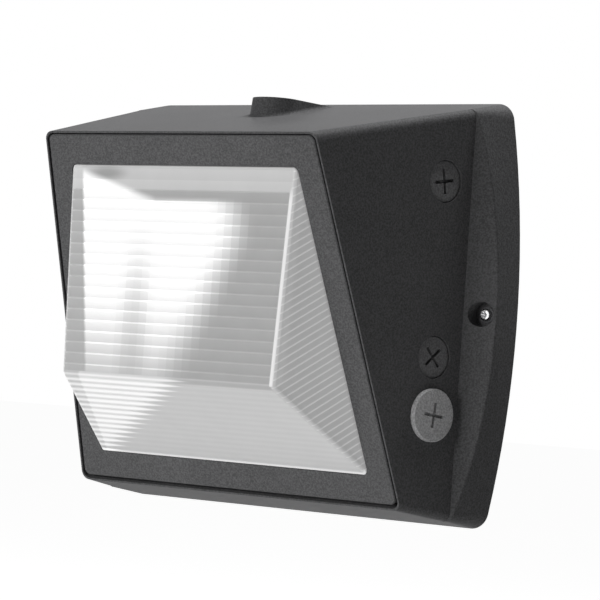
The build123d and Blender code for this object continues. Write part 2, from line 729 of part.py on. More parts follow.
with BuildPart() as led_board:
    with BuildSketch(rim_plane(-WELL_DEPTH + PAD_T)):
        with Locations((0, BOARD_V)):
            RectangleRounded(BOARD_W, BOARD_H, BOARD_CORNER_R)
        with Locations(*BOARD_SCREWS):
            Circle(M3_R + M3_CLEARANCE, mode=Mode.SUBTRACT)
    extrude(amount=BOARD_T)
save(led_board, "led_board")

BOARD_TOP = -WELL_DEPTH + PAD_T + BOARD_T
with BuildPart() as led_packages:
    with BuildSketch(rim_plane(BOARD_TOP)):
        with Locations((0, BOARD_V + LED_RISE)):
            with GridLocations(LED_PITCH_X, LED_PITCH_V, LED_COLUMNS, LED_ROWS):
                Rectangle(LED_SIZE, LED_SIZE)
    extrude(amount=LED_T)
save(led_packages, "led_packages")

with BuildPart() as board_screws:
    screws(rim_plane(BOARD_TOP), BOARD_SCREWS, 1, PAD_T + BOARD_T + WELL_WALL)
save(board_screws, "board_screws")

OUTPUT_X = [LEAD_HOLE[0] + sign * LEAD_GAP / 2 for sign in (-1, 1)]
CONNECTOR_FACE = CONNECTOR_V - CONNECTOR_H / 2
with BuildPart() as board_connector:
    with BuildSketch(rim_plane(BOARD_TOP)):
        with Locations((LEAD_HOLE[0], CONNECTOR_V)):
            Rectangle(CONNECTOR_W, CONNECTOR_H)
    extrude(amount=CONNECTOR_T)
    pocket = LEAD_R + LEAD_CLEARANCE
    with BuildSketch(rim_plane(BOARD_TOP + LEAD_LEVEL)):
        with Locations(*[(x, CONNECTOR_FACE + (CONNECTOR_POCKET - PAST) / 2) for x in OUTPUT_X]):
            Rectangle(2 * pocket, CONNECTOR_POCKET + PAST)
    extrude(amount=pocket, both=True, mode=Mode.SUBTRACT)
save(board_connector, "board_connector")

with BuildPart() as reflector:
    loft(
        [
            window_outline(-REFLECTOR_FLOOR, -REFLECTOR_DRAW),
            window_outline(-REFLECTOR_TOP, REFLECTOR_FLARE),
        ],
        ruled=True,
    )
    loft(
        [
            window_outline(-REFLECTOR_FLOOR + SHEET_T, -REFLECTOR_DRAW - SHEET_T),
            window_outline(-REFLECTOR_TOP, REFLECTOR_FLARE - SHEET_T),
        ],
        ruled=True,
        mode=Mode.SUBTRACT,
    )
    with BuildSketch(rim_plane(-REFLECTOR_FLOOR)):
        with Locations((0, BOARD_V)):
            Rectangle(BOARD_W + 2 * BOARD_MARGIN, BOARD_H + 2 * BOARD_MARGIN)
        with Locations((LEAD_HOLE[0], (LEAD_HOLE[1] + CONNECTOR_V) / 2)):
            Rectangle(*LEAD_WINDOW)
        with Locations(*REFLECTOR_SCREWS):
            Circle(M3_R + M3_CLEARANCE)
    extrude(amount=SHEET_T, mode=Mode.SUBTRACT)
save(reflector, "reflector")

with BuildPart() as reflector_screws:
    bite = REFLECTOR_PAD + WELL_WALL - SCREW_END_GAP
    screws(rim_plane(-REFLECTOR_FLOOR + SHEET_T), REFLECTOR_SCREWS, 1, SHEET_T + bite)
save(reflector_screws, "reflector_screws")

# ---------------------------------------------------------------- driver and wiring
GROMMET_BACK = -WELL_DEPTH - WELL_WALL
with BuildPart() as lead_grommet:
    with BuildSketch(rim_plane(GROMMET_BACK - GROMMET_LIP_T)):
        with Locations(LEAD_HOLE):
            Circle(LEAD_HOLE_R + GROMMET_LIP)
    extrude(amount=GROMMET_LIP_T)
    with BuildSketch(rim_plane(GROMMET_BACK)):
        with Locations(LEAD_HOLE):
            Circle(LEAD_HOLE_R)
    extrude(amount=WELL_WALL)
    with BuildSketch(rim_plane(-WELL_DEPTH)):
        with Locations(LEAD_HOLE):
            Circle(LEAD_HOLE_R + GROMMET_LIP)
    extrude(amount=GROMMET_LIP_T)
    with BuildSketch(rim_plane(GROMMET_BACK - GROMMET_LIP_T)):
        with Locations(LEAD_HOLE):
            SlotCenterToCenter(LEAD_GAP, 2 * (LEAD_R + LEAD_CLEARANCE))
    extrude(amount=WELL_WALL + 2 * GROMMET_LIP_T, mode=Mode.SUBTRACT)
save(lead_grommet, "lead_grommet")

DRIVER_BACK = GROMMET_BACK - DRIVER_STANDOFF
SCREW_BITE = DRIVER_STANDOFF + PILOT_DEPTH - SCREW_END_GAP
with BuildPart() as driver:
    with BuildSketch(rim_plane(DRIVER_BACK)):
        with Locations((DRIVER_X, BOARD_V)):
            RectangleRounded(DRIVER_W + 2 * DRIVER_EAR, DRIVER_EAR_H, DRIVER_CORNER_R)
    extrude(amount=-DRIVER_EAR_T)
    with BuildSketch(rim_plane(DRIVER_BACK)):
        with Locations((DRIVER_X, BOARD_V)):
            RectangleRounded(DRIVER_W, DRIVER_H, DRIVER_CORNER_R)
    extrude(amount=-DRIVER_T)
    with BuildSketch(rim_plane(DRIVER_BACK)):
        with Locations(*DRIVER_SCREWS):
            Circle(M3_R + M3_CLEARANCE)
    extrude(amount=-DRIVER_EAR_T, mode=Mode.SUBTRACT)
save(driver, "driver")

with BuildPart() as driver_screws:
    screws(rim_plane(DRIVER_BACK - DRIVER_EAR_T), DRIVER_SCREWS, -1, DRIVER_EAR_T + SCREW_BITE)
save(driver_screws, "driver_screws")

with BuildPart() as terminal_block:
    with BuildSketch(rim_plane(DRIVER_BACK)):
        with Locations((BLOCK_X, BLOCK_V)):
            Rectangle(BLOCK_W, BLOCK_H)
        with Locations(*BLOCK_SCREWS):
            Circle(M3_R + M3_CLEARANCE, mode=Mode.SUBTRACT)
    extrude(amount=-BLOCK_BASE_T)
    with BuildSketch(rim_plane(DRIVER_BACK)):
        with Locations((BLOCK_X, BLOCK_V)):
            Rectangle(BLOCK_POLE_W * 3 + BLOCK_STEP, BLOCK_H - 2 * BLOCK_STEP)
    extrude(amount=-BLOCK_T)
    with BuildSketch(rim_plane(DRIVER_BACK - BLOCK_T)):
        with Locations(*BLOCK_POLES):
            Circle(CLAMP_HOLE_R)
    extrude(amount=CLAMP_HOLE_DEPTH, mode=Mode.SUBTRACT)
    with BuildSketch(rim_plane(DRIVER_BACK - BLOCK_ENTRY_DEPTH)):
        with Locations(*BLOCK_POLES):
            with Locations((0, BLOCK_H / 4)):
                Rectangle(BLOCK_ENTRY_W, BLOCK_H / 2)
    extrude(amount=BLOCK_ENTRY_W / 2, both=True, mode=Mode.SUBTRACT)
save(terminal_block, "terminal_block")

CLAMP_FLOOR = rim_plane(DRIVER_BACK - BLOCK_T + CLAMP_HOLE_DEPTH)
with BuildPart() as terminal_screws:
    with BuildSketch(CLAMP_FLOOR):
        with Locations(*BLOCK_POLES):
            Circle(CLAMP_SCREW_R)
    extrude(amount=-CLAMP_SCREW_T)
    with BuildSketch(CLAMP_FLOOR.offset(-CLAMP_SCREW_T)):
        with Locations(*BLOCK_POLES):
            Rectangle(*CLAMP_SLOT)
    extrude(amount=CLAMP_SLOT_DEPTH, mode=Mode.SUBTRACT)
save(terminal_screws, "terminal_screws")

with BuildPart() as block_screws:
    screws(rim_plane(DRIVER_BACK - BLOCK_BASE_T), BLOCK_SCREWS, -1, BLOCK_BASE_T + SCREW_BITE)
save(block_screws, "block_screws")

with BuildPart() as ground_screw:
    screws(rim_plane(DRIVER_BACK - GROUND_TAG_T), [GROUND_SCREW], -1, GROUND_TAG_T + SCREW_BITE)
save(ground_screw, "ground_screw")

LEAD_W = DRIVER_BACK - LEAD_EXIT
DRIVER_SIDE = BOARD_V - DRIVER_H / 2
with BuildPart() as output_leads:
    for x in OUTPUT_X:
        lead(
            [
                (x, CONNECTOR_FACE + CONNECTOR_POCKET - LEAD_CLEARANCE, BOARD_TOP + LEAD_LEVEL),
                (x, LEAD_HOLE[1], BOARD_TOP + LEAD_LEVEL),
                (x, LEAD_HOLE[1], LEAD_W),
                (x, DRIVER_SIDE, LEAD_W),
            ],
            LEAD_R,
            LEAD_BEND,
        )
save(output_leads, "output_leads")

TERMINAL_W = DRIVER_BACK - BLOCK_ENTRY_DEPTH


def toward_driver(share):
    """Height along the slope at a share of the way from the terminals to the driver."""
    start = BLOCK_V + BLOCK_POLE_V + BLOCK_H / 4
    return start + share * (DRIVER_SIDE - start)


with BuildPart() as supply_leads:
    for x, _ in BLOCK_POLES[:2]:
        lead(
            [
                (x, DRIVER_SIDE, LEAD_W),
                (x, toward_driver(SUPPLY_TURNS[0]), LEAD_W),
                (x, toward_driver(SUPPLY_TURNS[1]), TERMINAL_W),
                (x, toward_driver(0), TERMINAL_W),
            ],
            MAINS_R,
            SUPPLY_BEND,
        )
save(supply_leads, "supply_leads")

with BuildPart() as ground_lead:
    x, _ = BLOCK_POLES[2]
    tag_x, tag_v = GROUND_SCREW
    lead(
        [
            (x, toward_driver(0), TERMINAL_W),
            (x, toward_driver(GROUND_TURN), TERMINAL_W),
            (tag_x, toward_driver(GROUND_TURN), DRIVER_BACK - MAINS_R),
            (tag_x, tag_v + GROUND_LEAD_END, DRIVER_BACK - MAINS_R),
        ],
        MAINS_R,
        GROUND_BEND,
    )
    with BuildSketch(rim_plane(DRIVER_BACK)):
        with Locations(GROUND_SCREW):
            Circle(GROUND_TAG_R)
        with Locations((tag_x, tag_v + GROUND_TAIL_V)):
            Rectangle(*GROUND_TAIL)
        with Locations(GROUND_SCREW):
            Circle(M3_R + M3_CLEARANCE, mode=Mode.SUBTRACT)
    extrude(amount=-GROUND_TAG_T)
save(ground_lead, "ground_lead")

# ---------------------------------------------------------------- conduit plugs and O-rings
def make_plug(plane, radius, level, turn, name):
    """Screw plug with a cross slot, and the O-ring in its groove."""
    face = plane.offset(level)
    groove_plane = plane.offset(-GROOVE_LEVEL)
    outer = radius - PLUG_CLEARANCE
    with BuildPart() as plug:
        extrude(discs(face, [(0, 0)], outer), amount=-PLUG_LENGTH - max(level, 0))
        rim = plug.faces().sort_by(Axis(plane.origin, plane.z_dir))[-1]
        chamfer(rim.edges(), PLUG_CHAMFER)
        slot = cross_slot(face, [(0, 0)], CROSS_LENGTH, CROSS_WIDTH, turn)
        extrude(slot, amount=-CROSS_DEPTH, mode=Mode.SUBTRACT)
        with BuildSketch(groove_plane) as ring:
            Circle(radius + PAST)
            Circle(outer - GROOVE_FLOOR, mode=Mode.SUBTRACT)
        extrude(ring.sketch, amount=GROOVE_HALF, both=True, mode=Mode.SUBTRACT)
    save(plug, name)
    with BuildPart() as o_ring:
        with Locations(groove_plane):
            Torus(outer - GROOVE_FLOOR + ORING_R + RUNNING, ORING_R)
    save(o_ring, name.replace("plug", "o_ring"))


for name, (sign, height, radius, level, turn) in ENTRIES.items():
    make_plug(side_plane(sign, ENTRY_DEPTH, height), radius, level, turn, name)
top_entry = Plane(origin=(0, -TOP_HUB_DEPTH, TOP_HUB_Z), z_dir=(0, 0, 1))
make_plug(top_entry, HALF_INCH_R, -PLUG_RECESS, TOP_PLUG_TURN, "top_plug")

# ---------------------------------------------------------------- side screws
for name, sign in (("right", 1), ("left", -1)):
    centre = [(sign * SCREW_X, 0)]
    with BuildPart() as washer:
        extrude(discs(at_depth(COUNTERBORE_FLOOR), centre, WASHER_R), amount=WASHER_T)
        extrude(
            discs(at_depth(COUNTERBORE_FLOOR), centre, SCREW_HOLE_R),
            amount=WASHER_T,
            mode=Mode.SUBTRACT,
        )
    save(washer, f"side_washer_{name}")
    seat = COUNTERBORE_FLOOR + WASHER_T
    with BuildPart() as side_screw:
        extrude(discs(at_depth(seat), centre, SCREW_HEAD_R), amount=SCREW_HEAD_T)
        fillet(side_screw.faces().sort_by(Axis.Y)[0].edges(), SCREW_ROUND)
        extrude(discs(at_depth(seat), centre, SCREW_R), amount=SCREW_END_Y - seat)
        slot = cross_slot(at_depth(seat + SCREW_HEAD_T), centre, *SCREW_SLOT)
        extrude(slot, amount=-SCREW_SLOT_DEPTH, mode=Mode.SUBTRACT)
    save(side_screw, f"side_screw_{name}")

# ---------------------------------------------------------------- wall plate
with BuildPart() as wall_plate:
    plate_corner = FLANGE_REAR_R - HOLLOW_R
    extrude(rear_barrel(REAR_WALL + PLATE_CLEARANCE, plate_corner), amount=PLATE_T)
    with BuildSketch(at_depth(0)):
        Circle(WIRE_ENTRY_R)
        with GridLocations(BOX_SLOT_SPACING, 0, 2, 1):
            SlotOverall(BOX_SLOT_LENGTH, 2 * BOX_SLOT_R)
        with GridLocations(FIX_SPACING_X, FIX_SPACING_Z, 2, 2):
            Circle(FIX_HOLE_R)
        with GridLocations(2 * SCREW_X, 0, 2, 1):
            Circle(SCREW_R + RUNNING)
    extrude(amount=PLATE_T, mode=Mode.SUBTRACT)
    wall_inside = HALF_HEIGHT - REAR_WALL - TOP_DRAFT * HANG_TAB_END
    tab_z = wall_inside - HANG_TAB_GAP - HANG_TAB_T / 2
    with BuildSketch(at_depth(PLATE_T)):
        with Locations((-HANG_TAB_X, tab_z), (HANG_TAB_X, tab_z)):
            Rectangle(HANG_TAB_W, HANG_TAB_T)
    extrude(amount=HANG_TAB_END - PLATE_T)
save(wall_plate, "wall_plate")

with BuildPart() as plate_posts:
    with BuildSketch(at_depth(PLATE_T)):
        with GridLocations(2 * SCREW_X, 0, 2, 1):
            Circle(POST_R)
            Circle(SCREW_R + RUNNING, mode=Mode.SUBTRACT)
    extrude(amount=POST_TOP - PLATE_T)
save(plate_posts, "plate_posts")
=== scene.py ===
"""Looks of an outdoor wall pack light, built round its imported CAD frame.

Units are metres. The wall is the plane Y = 0 and the lamp stands out from it towards -Y.
+X is the viewer's right and +Z is up.
"""

import json
import logging
import math
from collections.abc import Callable, Sequence
from dataclasses import dataclass, field
from enum import Enum

import bpy
import numpy as np
from mathutils import Matrix, Vector

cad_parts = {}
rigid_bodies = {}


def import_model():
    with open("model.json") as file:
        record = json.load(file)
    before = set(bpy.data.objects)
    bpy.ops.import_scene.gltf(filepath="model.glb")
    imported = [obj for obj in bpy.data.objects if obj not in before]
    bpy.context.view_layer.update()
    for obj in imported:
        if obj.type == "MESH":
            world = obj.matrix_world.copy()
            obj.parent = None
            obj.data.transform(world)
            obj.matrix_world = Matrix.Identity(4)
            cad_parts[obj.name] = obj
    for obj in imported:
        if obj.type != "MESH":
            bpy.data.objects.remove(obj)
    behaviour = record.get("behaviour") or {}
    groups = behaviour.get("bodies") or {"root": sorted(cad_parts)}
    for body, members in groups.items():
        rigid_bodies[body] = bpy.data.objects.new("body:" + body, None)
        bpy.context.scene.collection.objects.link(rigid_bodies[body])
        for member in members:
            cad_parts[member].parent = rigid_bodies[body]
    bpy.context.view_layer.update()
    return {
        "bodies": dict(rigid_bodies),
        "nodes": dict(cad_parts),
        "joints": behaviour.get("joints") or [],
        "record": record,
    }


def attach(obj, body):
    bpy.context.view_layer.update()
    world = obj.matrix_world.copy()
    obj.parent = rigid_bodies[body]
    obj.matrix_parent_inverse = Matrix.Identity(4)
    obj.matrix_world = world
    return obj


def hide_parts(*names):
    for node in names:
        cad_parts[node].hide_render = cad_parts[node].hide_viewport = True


LOG = logging.getLogger("wall_pack_light")
MM = 0.001
MERGE_DISTANCE = 1e-6
CUT_THRESHOLD = 1e-7
BARE_CELLS = 0.93  # share of the powder's cells that have no speck
BLACK = (0.0, 0.0, 0.0, 1.0)
WHITE = (1.0, 1.0, 1.0, 1.0)
Colour = tuple[float, float, float]
Span = tuple[float, float]  # where an edge begins, at 0, and where it is full, at 1
Socket = bpy.types.NodeSocket
Number = bpy.types.NodeSocket | float


# ---------------------------------------------------------------- mesh helpers
def deselect() -> None:
    """Leave object mode with nothing selected."""
    if bpy.context.mode != "OBJECT":
        bpy.ops.object.mode_set(mode="OBJECT")
    bpy.ops.object.select_all(action="DESELECT")


def open_for_edit(piece: bpy.types.Object) -> None:
    """Select one piece alone and open its mesh for editing."""
    deselect()
    piece.select_set(True)
    bpy.context.view_layer.objects.active = piece
    bpy.ops.object.mode_set(mode="EDIT")


def pick(piece: bpy.types.Object, kind: str, chosen: np.ndarray) -> None:
    """Select vertices, edges or faces of a piece and open it for editing.

    Args:
        piece: The mesh object.
        kind: "vertices", "edges" or "polygons".
        chosen: One truth value for each element.
    """
    if bpy.context.mode != "OBJECT":
        bpy.ops.object.mode_set(mode="OBJECT")
    mode = (kind == "vertices", kind == "edges", kind == "polygons")
    bpy.context.tool_settings.mesh_select_mode = mode
    for name in ("vertices", "edges", "polygons"):
        elements = getattr(piece.data, name)
        wanted = chosen if name == kind else np.zeros(len(elements), bool)
        elements.foreach_set("select", wanted)
    open_for_edit(piece)


def read(elements: bpy.types.bpy_prop_collection, name: str, width: int) -> np.ndarray:
    """Read one property of every element.

    Args:
        elements: The vertices, edges or faces.
        name: The property.
        width: How many numbers it has for each element.

    Returns:
        An array with one row, or one number, for each element.
    """
    values = np.zeros(len(elements) * width, np.float64)
    elements.foreach_get(name, values)
    return values.reshape(-1, width) if width > 1 else values


def faces_along(piece: bpy.types.Object, normal: Vector, spread: float = 0.02) -> np.ndarray:
    """Find the faces that look along a direction.

    Args:
        piece: The mesh object, in object mode.
        normal: The direction, of unit length.
        spread: How far from it a face's normal may be.

    Returns:
        One truth value for each face.
    """
    normals = read(piece.data.polygons, "normal", 3)
    return np.linalg.norm(normals - np.array(normal), axis=1) < spread


def cut(point: Vector, normal: Vector, remove: bool) -> None:
    """Cut the selected part of the mesh that is open with a plane.

    Args:
        point: A point on the plane.
        normal: The plane's normal.
        remove: Whether the part in front of the plane is removed and the cut closed.
    """
    bpy.ops.mesh.bisect(
        plane_co=point, plane_no=normal, use_fill=remove, clear_outer=remove,
        threshold=CUT_THRESHOLD,
    )


def settle(piece: bpy.types.Object, angle: float) -> None:
    """Merge doubles, turn the faces outwards and shade the piece.

    Args:
        piece: The mesh object.
        angle: Faces meeting under this many degrees are shaded as one surface.
    """
    open_for_edit(piece)
    bpy.ops.mesh.select_all(action="SELECT")
    bpy.ops.mesh.remove_doubles(threshold=MERGE_DISTANCE)
    bpy.ops.mesh.normals_make_consistent(inside=False)
    bpy.ops.object.mode_set(mode="OBJECT")
    bpy.ops.object.transform_apply(location=True, rotation=True, scale=True)
    bpy.ops.object.shade_smooth_by_angle(angle=math.radians(angle))
    deselect()


# ---------------------------------------------------------------- shape of the lens
@dataclass(frozen=True)
class Wedge:
    """Plane faces of the lens where it stands out of the bezel's rim plane.

    Attributes:
        window_half: Half width of the window at mid height.
        window_flare: What that half width gains for each metre down.
        clearance: Gap between window and lens.
        nose_depth: How far the nose stands off the wall.
        rim_depth: How far the rim plane stands off the wall at mid height.
        rim_slant: What it gains for each metre up.
    """

    window_top: float = 63.7 * MM
    window_bottom: float = -84.1 * MM
    window_half: float = 78.4 * MM
    window_flare: float = 0.1
    clearance: float = 0.6 * MM
    nose_depth: float = 121.3 * MM
    nose_z: float = -43.7 * MM
    nose_half: float = 67.3 * MM
    rim_depth: float = 95.8 * MM
    rim_slant: float = 0.383

    @property
    def outward(self) -> Vector:
        """Direction square to the rim plane, away from the wall."""
        return Vector((0.0, -1.0, -self.rim_slant)).normalized()

    @property
    def top_z(self) -> float:
        """Height of the lens's top edge."""
        return self.window_top - self.clearance / math.hypot(1.0, self.rim_slant)

    @property
    def bottom_z(self) -> float:
        """Height of the lens's bottom edge."""
        return self.window_bottom + self.clearance / math.hypot(1.0, self.rim_slant)

    def rim_point(self, height: float) -> Vector:
        """Point on the rim plane at a height, in the middle of the lamp."""
        return Vector((0.0, -self.rim_depth - self.rim_slant * height, height))

    def half_at(self, height: float) -> float:
        """Half width of the lens at a height, where it leaves the rim plane."""
        return self.window_half - self.window_flare * height - self.clearance

    def faces(self) -> dict[str, tuple[Vector, Vector]]:
        """Find a point and the outward normal of each face, by name."""
        top, bottom = self.rim_point(self.top_z), self.rim_point(self.bottom_z)
        nose = Vector((0.0, -self.nose_depth, self.nose_z))
        across = Vector((1.0, 0.0, 0.0))
        found = {
            "front": (nose, across.cross(top - nose).normalized()),
            "bottom": (nose, across.cross(nose - bottom).normalized()),
            "rim": (self.rim_point(0.0), -self.outward),
        }
        for name, sign in (("left", -1), ("right", 1)):
            upper = top + across * sign * self.half_at(self.top_z)
            lower = bottom + across * sign * self.half_at(self.bottom_z)
            tip = nose + across * sign * self.nose_half
            normal = (tip - upper).cross(lower - upper) * sign
            found[name] = (tip, normal.normalized())
        return found


@dataclass(frozen=True)
class Prisms:
    """Parallel saw-toothed rows pressed into a face.

    Attributes:
        across: Direction across the rows, of unit length.
        first: Where the first row's crest lies along that direction.
        pitch: Distance from one crest to the next one below it.
        count: Number of rows.
        step: Width of the short flank above each crest.
        depth: How far the valleys lie under the face.
        below: Height above which the face stays smooth.
    """

    across: tuple[float, float, float]
    first: float
    pitch: float
    count: int
    step: float
    depth: float
    below: float = math.inf

    def crests(self) -> list[float]:
        """Find where each crest lies along the direction across the rows."""
        return [self.first - index * self.pitch for index in range(self.count)]


class Relief(Enum):
    """Every set of prisms in the lens."""

    ROWS = Prisms(
        across=(0.0, 0.0, 1.0), first=50.7 * MM, pitch=5.6 * MM, count=17,
        step=0.7 * MM, depth=0.38 * MM,
    )
    FLUTES = Prisms(
        across=(1.0, 0.0, 0.0), first=65.0 * MM, pitch=5.0 * MM, count=27,
        step=2.5 * MM, depth=0.12 * MM, below=45.2 * MM,
    )
    RIBS = Prisms(
        across=(0.0, -0.5379, 0.8430), first=116.0 * MM, pitch=3.4 * MM, count=46,
        step=0.7 * MM, depth=0.32 * MM,
    )
    LINES = Prisms(
        across=(0.0, 0.0, 1.0), first=-46.4 * MM, pitch=2.6 * MM, count=14,
        step=0.8 * MM, depth=0.25 * MM,
    )


# ---------------------------------------------------------------- shader helpers
class Graph:
    """A node tree with short ways to add and join nodes."""

    def __init__(self, tree: bpy.types.NodeTree) -> None:
        """Start with an empty tree."""
        self.tree = tree
        tree.nodes.clear()

    def add(self, kind: str, **settings: object) -> bpy.types.Node:
        """Add a node and set its properties."""
        node = self.tree.nodes.new(kind)
        for name, value in settings.items():
            setattr(node, name, value)
        return node

    def feed(self, target: Socket, value: object) -> None:
        """Link an input to an output, or set it to a plain value."""
        if isinstance(value, bpy.types.NodeSocket):
            self.tree.links.new(value, target)
        else:
            target.default_value = value

    def fed(self, kind: str, inputs: dict[str, object], **settings: object) -> bpy.types.Node:
        """Add a node, set its properties and feed its inputs by name."""
        node = self.add(kind, **settings)
        for name, value in inputs.items():
            self.feed(node.inputs[name], value)
        return node

    def math(self, operation: str, *values: Number) -> Socket:
        """Add a Math node with up to three values."""
        node = self.add("ShaderNodeMath", operation=operation)
        for socket, value in zip(node.inputs, values):
            self.feed(socket, value)
        return node.outputs[0]

    def times(self, first: Number, *others: Number) -> Socket:
        """Multiply values."""
        product = first
        for value in others:
            product = self.math("MULTIPLY", product, value)
        return product

    def line(self, value: Number, gain: Number, base: Number) -> Socket:
        """Multiply a value by a gain and add a base."""
        return self.math("MULTIPLY_ADD", value, gain, base)

    def vector(self, operation: str, *values: object) -> Socket:
        """Add a Vector Math node, whose product or length is a number."""
        node = self.add("ShaderNodeVectorMath", operation=operation)
        for socket, value in zip(node.inputs, values):
            self.feed(socket, value)
        single = operation in ("DOT_PRODUCT", "LENGTH")
        return node.outputs["Value" if single else "Vector"]

    def smooth(self, value: Number, start: Number, end: Number) -> Socket:
        """Rise smoothly from 0 at the start to 1 at the end, which may be the smaller."""
        inputs = {"Value": value, "From Min": start, "From Max": end}
        node = self.fed("ShaderNodeMapRange", inputs, interpolation_type="SMOOTHSTEP")
        return node.outputs["Result"]

    def scale(self, value: Number, low: float, high: float) -> Socket:
        """Map 0 to 1 onto another range."""
        inputs = {"Value": value, "To Min": low, "To Max": high}
        return self.fed("ShaderNodeMapRange", inputs).outputs["Result"]

    def noise(self, vector: Socket, scale: Number, detail: float) -> Socket:
        """Add a noise texture, its scale in cells for each metre."""
        inputs = {"Vector": vector, "Scale": scale, "Detail": detail}
        return self.fed("ShaderNodeTexNoise", inputs).outputs["Fac"]

    def cells(self, vector: Socket, scale: float) -> tuple[Socket, bpy.types.Node]:
        """Add a cell texture.

        Args:
            vector: Where it is looked up.
            scale: How many cells it has in a metre.

        Returns:
            The distance to the nearest point, and a node with three random numbers of its cell.
        """
        node = self.fed("ShaderNodeTexVoronoi", {"Vector": vector, "Scale": scale}, feature="F1")
        parts = self.fed("ShaderNodeSeparateColor", {"Color": node.outputs["Color"]})
        return node.outputs["Distance"], parts

    def blend(self, factor: Number, first: object, second: object) -> Socket:
        """Mix two colours, the factor being the share of the second."""
        inputs = {"Factor": factor, "A": first, "B": second}
        return self.fed("ShaderNodeMix", inputs, data_type="RGBA").outputs["Result"]

    def here(self) -> Socket:
        """Look up the shaded point's object coordinates, in metres."""
        return self.add("ShaderNodeTexCoord").outputs["Object"]

    def axis(self, vector: Socket, direction: Sequence[float]) -> Socket:
        """Measure a point along a direction of unit length."""
        return self.vector("DOT_PRODUCT", vector, tuple(direction))


@dataclass(frozen=True)
class Effect:
    """Surface effect that several materials share, built once as a node group by fill."""

    name: str
    inputs: dict[str, float]
    fill: Callable[[Graph, bpy.types.Node], dict[str, Socket]]

    def group(self) -> bpy.types.NodeTree:
        """Find the node group, or build it."""
        found = bpy.data.node_groups.get(self.name)
        if found:
            return found
        tree = bpy.data.node_groups.new(self.name, "ShaderNodeTree")
        make = tree.interface.new_socket
        for label, default in self.inputs.items():
            socket = make(label, in_out="INPUT", socket_type="NodeSocketFloat")
            socket.default_value = default
        graph = Graph(tree)
        outputs = self.fill(graph, graph.add("NodeGroupInput"))
        for label in outputs:
            make(label, in_out="OUTPUT", socket_type="NodeSocketFloat")
        result = graph.add("NodeGroupOutput")
        for label, socket in outputs.items():
            graph.feed(result.inputs[label], socket)
        return tree


def powder(graph: Graph, given: bpy.types.Node) -> dict[str, Socket]:
    """Add cured powder: close grain, slow tone changes and rare pale specks."""
    place = graph.here()
    grain = graph.noise(place, given.outputs["Grain"], detail=3.0)
    peel = graph.noise(place, scale=420.0, detail=1.0)
    slow = graph.smooth(graph.noise(place, scale=22.0, detail=3.0), start=0.3, end=0.7)
    fine = graph.smooth(grain, start=0.3, end=0.7)
    distance, random = graph.cells(place, scale=60.0)
    near = graph.smooth(distance, start=0.045, end=0.02)
    rare = graph.math("GREATER_THAN", random.outputs["Red"], BARE_CELLS)
    return {
        "Height": graph.line(peel, gain=0.6, base=grain),
        "Tone": graph.line(slow, gain=0.15, base=graph.times(fine, 0.85)),
        "Speck": graph.times(near, rare, given.outputs["Specks"]),
    }


def brushed(graph: Graph, given: bpy.types.Node) -> dict[str, Socket]:
    """Add rolled or turned metal: fine streaks along X and a mottled plating."""
    place = graph.here()
    stretched = graph.vector("MULTIPLY", place, (0.06, 1.0, 1.0))
    streak = graph.noise(stretched, given.outputs["Grain"], detail=4.0)
    _, spangle = graph.cells(place, scale=140.0)
    return {
        "Height": streak,
        "Tone": graph.line(spangle.outputs["Green"], gain=0.5, base=streak),
    }


def moulded(graph: Graph, given: bpy.types.Node) -> dict[str, Socket]:
    """Add moulded plastic or rubber: faint grain and slow tone changes."""
    place = graph.here()
    grain = graph.noise(place, given.outputs["Grain"], detail=2.0)
    slow = graph.noise(place, scale=60.0, detail=2.0)
    return {
        "Height": grain,
        "Tone": graph.line(slow, gain=0.6, base=graph.times(grain, 0.4)),
    }


POWDER = Effect("powder_coat_texture", {"Grain": 1800.0, "Specks": 0.5}, powder)
BRUSHED = Effect("rolled_metal_texture", {"Grain": 900.0}, brushed)
MOULDED = Effect("moulded_surface_texture", {"Grain": 2600.0}, moulded)


@dataclass
class Coat:
    """A material whose graph holds only a Principled shader and its output at first."""

    name: str

    def __post_init__(self) -> None:
        """Make the material."""
        self.material = bpy.data.materials.new(self.name)
        self.material.use_nodes = True
        self.graph = Graph(self.material.node_tree)
        self.shader = self.graph.add("ShaderNodeBsdfPrincipled")
        self.graph.fed("ShaderNodeOutputMaterial", {"Surface": self.shader.outputs["BSDF"]})

    def set(self, **values: object) -> None:
        """Link or set inputs of the shader, whose spaces are written as underscores."""
        for name, value in values.items():
            self.graph.feed(self.shader.inputs[name.replace("_", " ")], value)

    def texture(self, effect: Effect, **values: float) -> bpy.types.Node:
        """Add the group node of a shared effect, with values for its inputs."""
        return self.graph.fed("ShaderNodeGroup", values, node_tree=effect.group())

    def roughen(self, tone: Socket, middle: float, less: float, more: float) -> None:
        """Let the roughness follow a tone.

        Args:
            tone: The tone, from 0 to 1.
            middle: The finish's own roughness.
            less: How far under it the roughness starts.
            more: How far over it the roughness ends.
        """
        self.set(Roughness=self.graph.scale(tone, middle - less, middle + more))

    def bump(self, height: Socket, strength: float, distance: float) -> None:
        """Feed a height from 0 to 1 to the shader's normal, its distance in metres."""
        inputs = {"Strength": strength, "Distance": distance, "Height": height}
        self.set(Normal=self.graph.fed("ShaderNodeBump", inputs).outputs["Normal"])


def shade(colour: Colour, gain: float = 1.0, lift: float = 0.0) -> tuple[float, ...]:
    """Multiply a colour and add to it, with nothing over 1, and make it opaque."""
    return (*(min(1.0, gain * value + lift) for value in colour), 1.0)


# ---------------------------------------------------------------- finishes
@dataclass(frozen=True)
class Surface:
    """Finish of a piece."""

    name: str
    colour: Colour
    roughness: float

    def build(self) -> bpy.types.Material:
        """Build the material."""
        coat = Coat(self.name)
        self.cover(coat)
        return coat.material

    def cover(self, coat: Coat) -> None:
        """Give the bare material its looks."""
        raise NotImplementedError


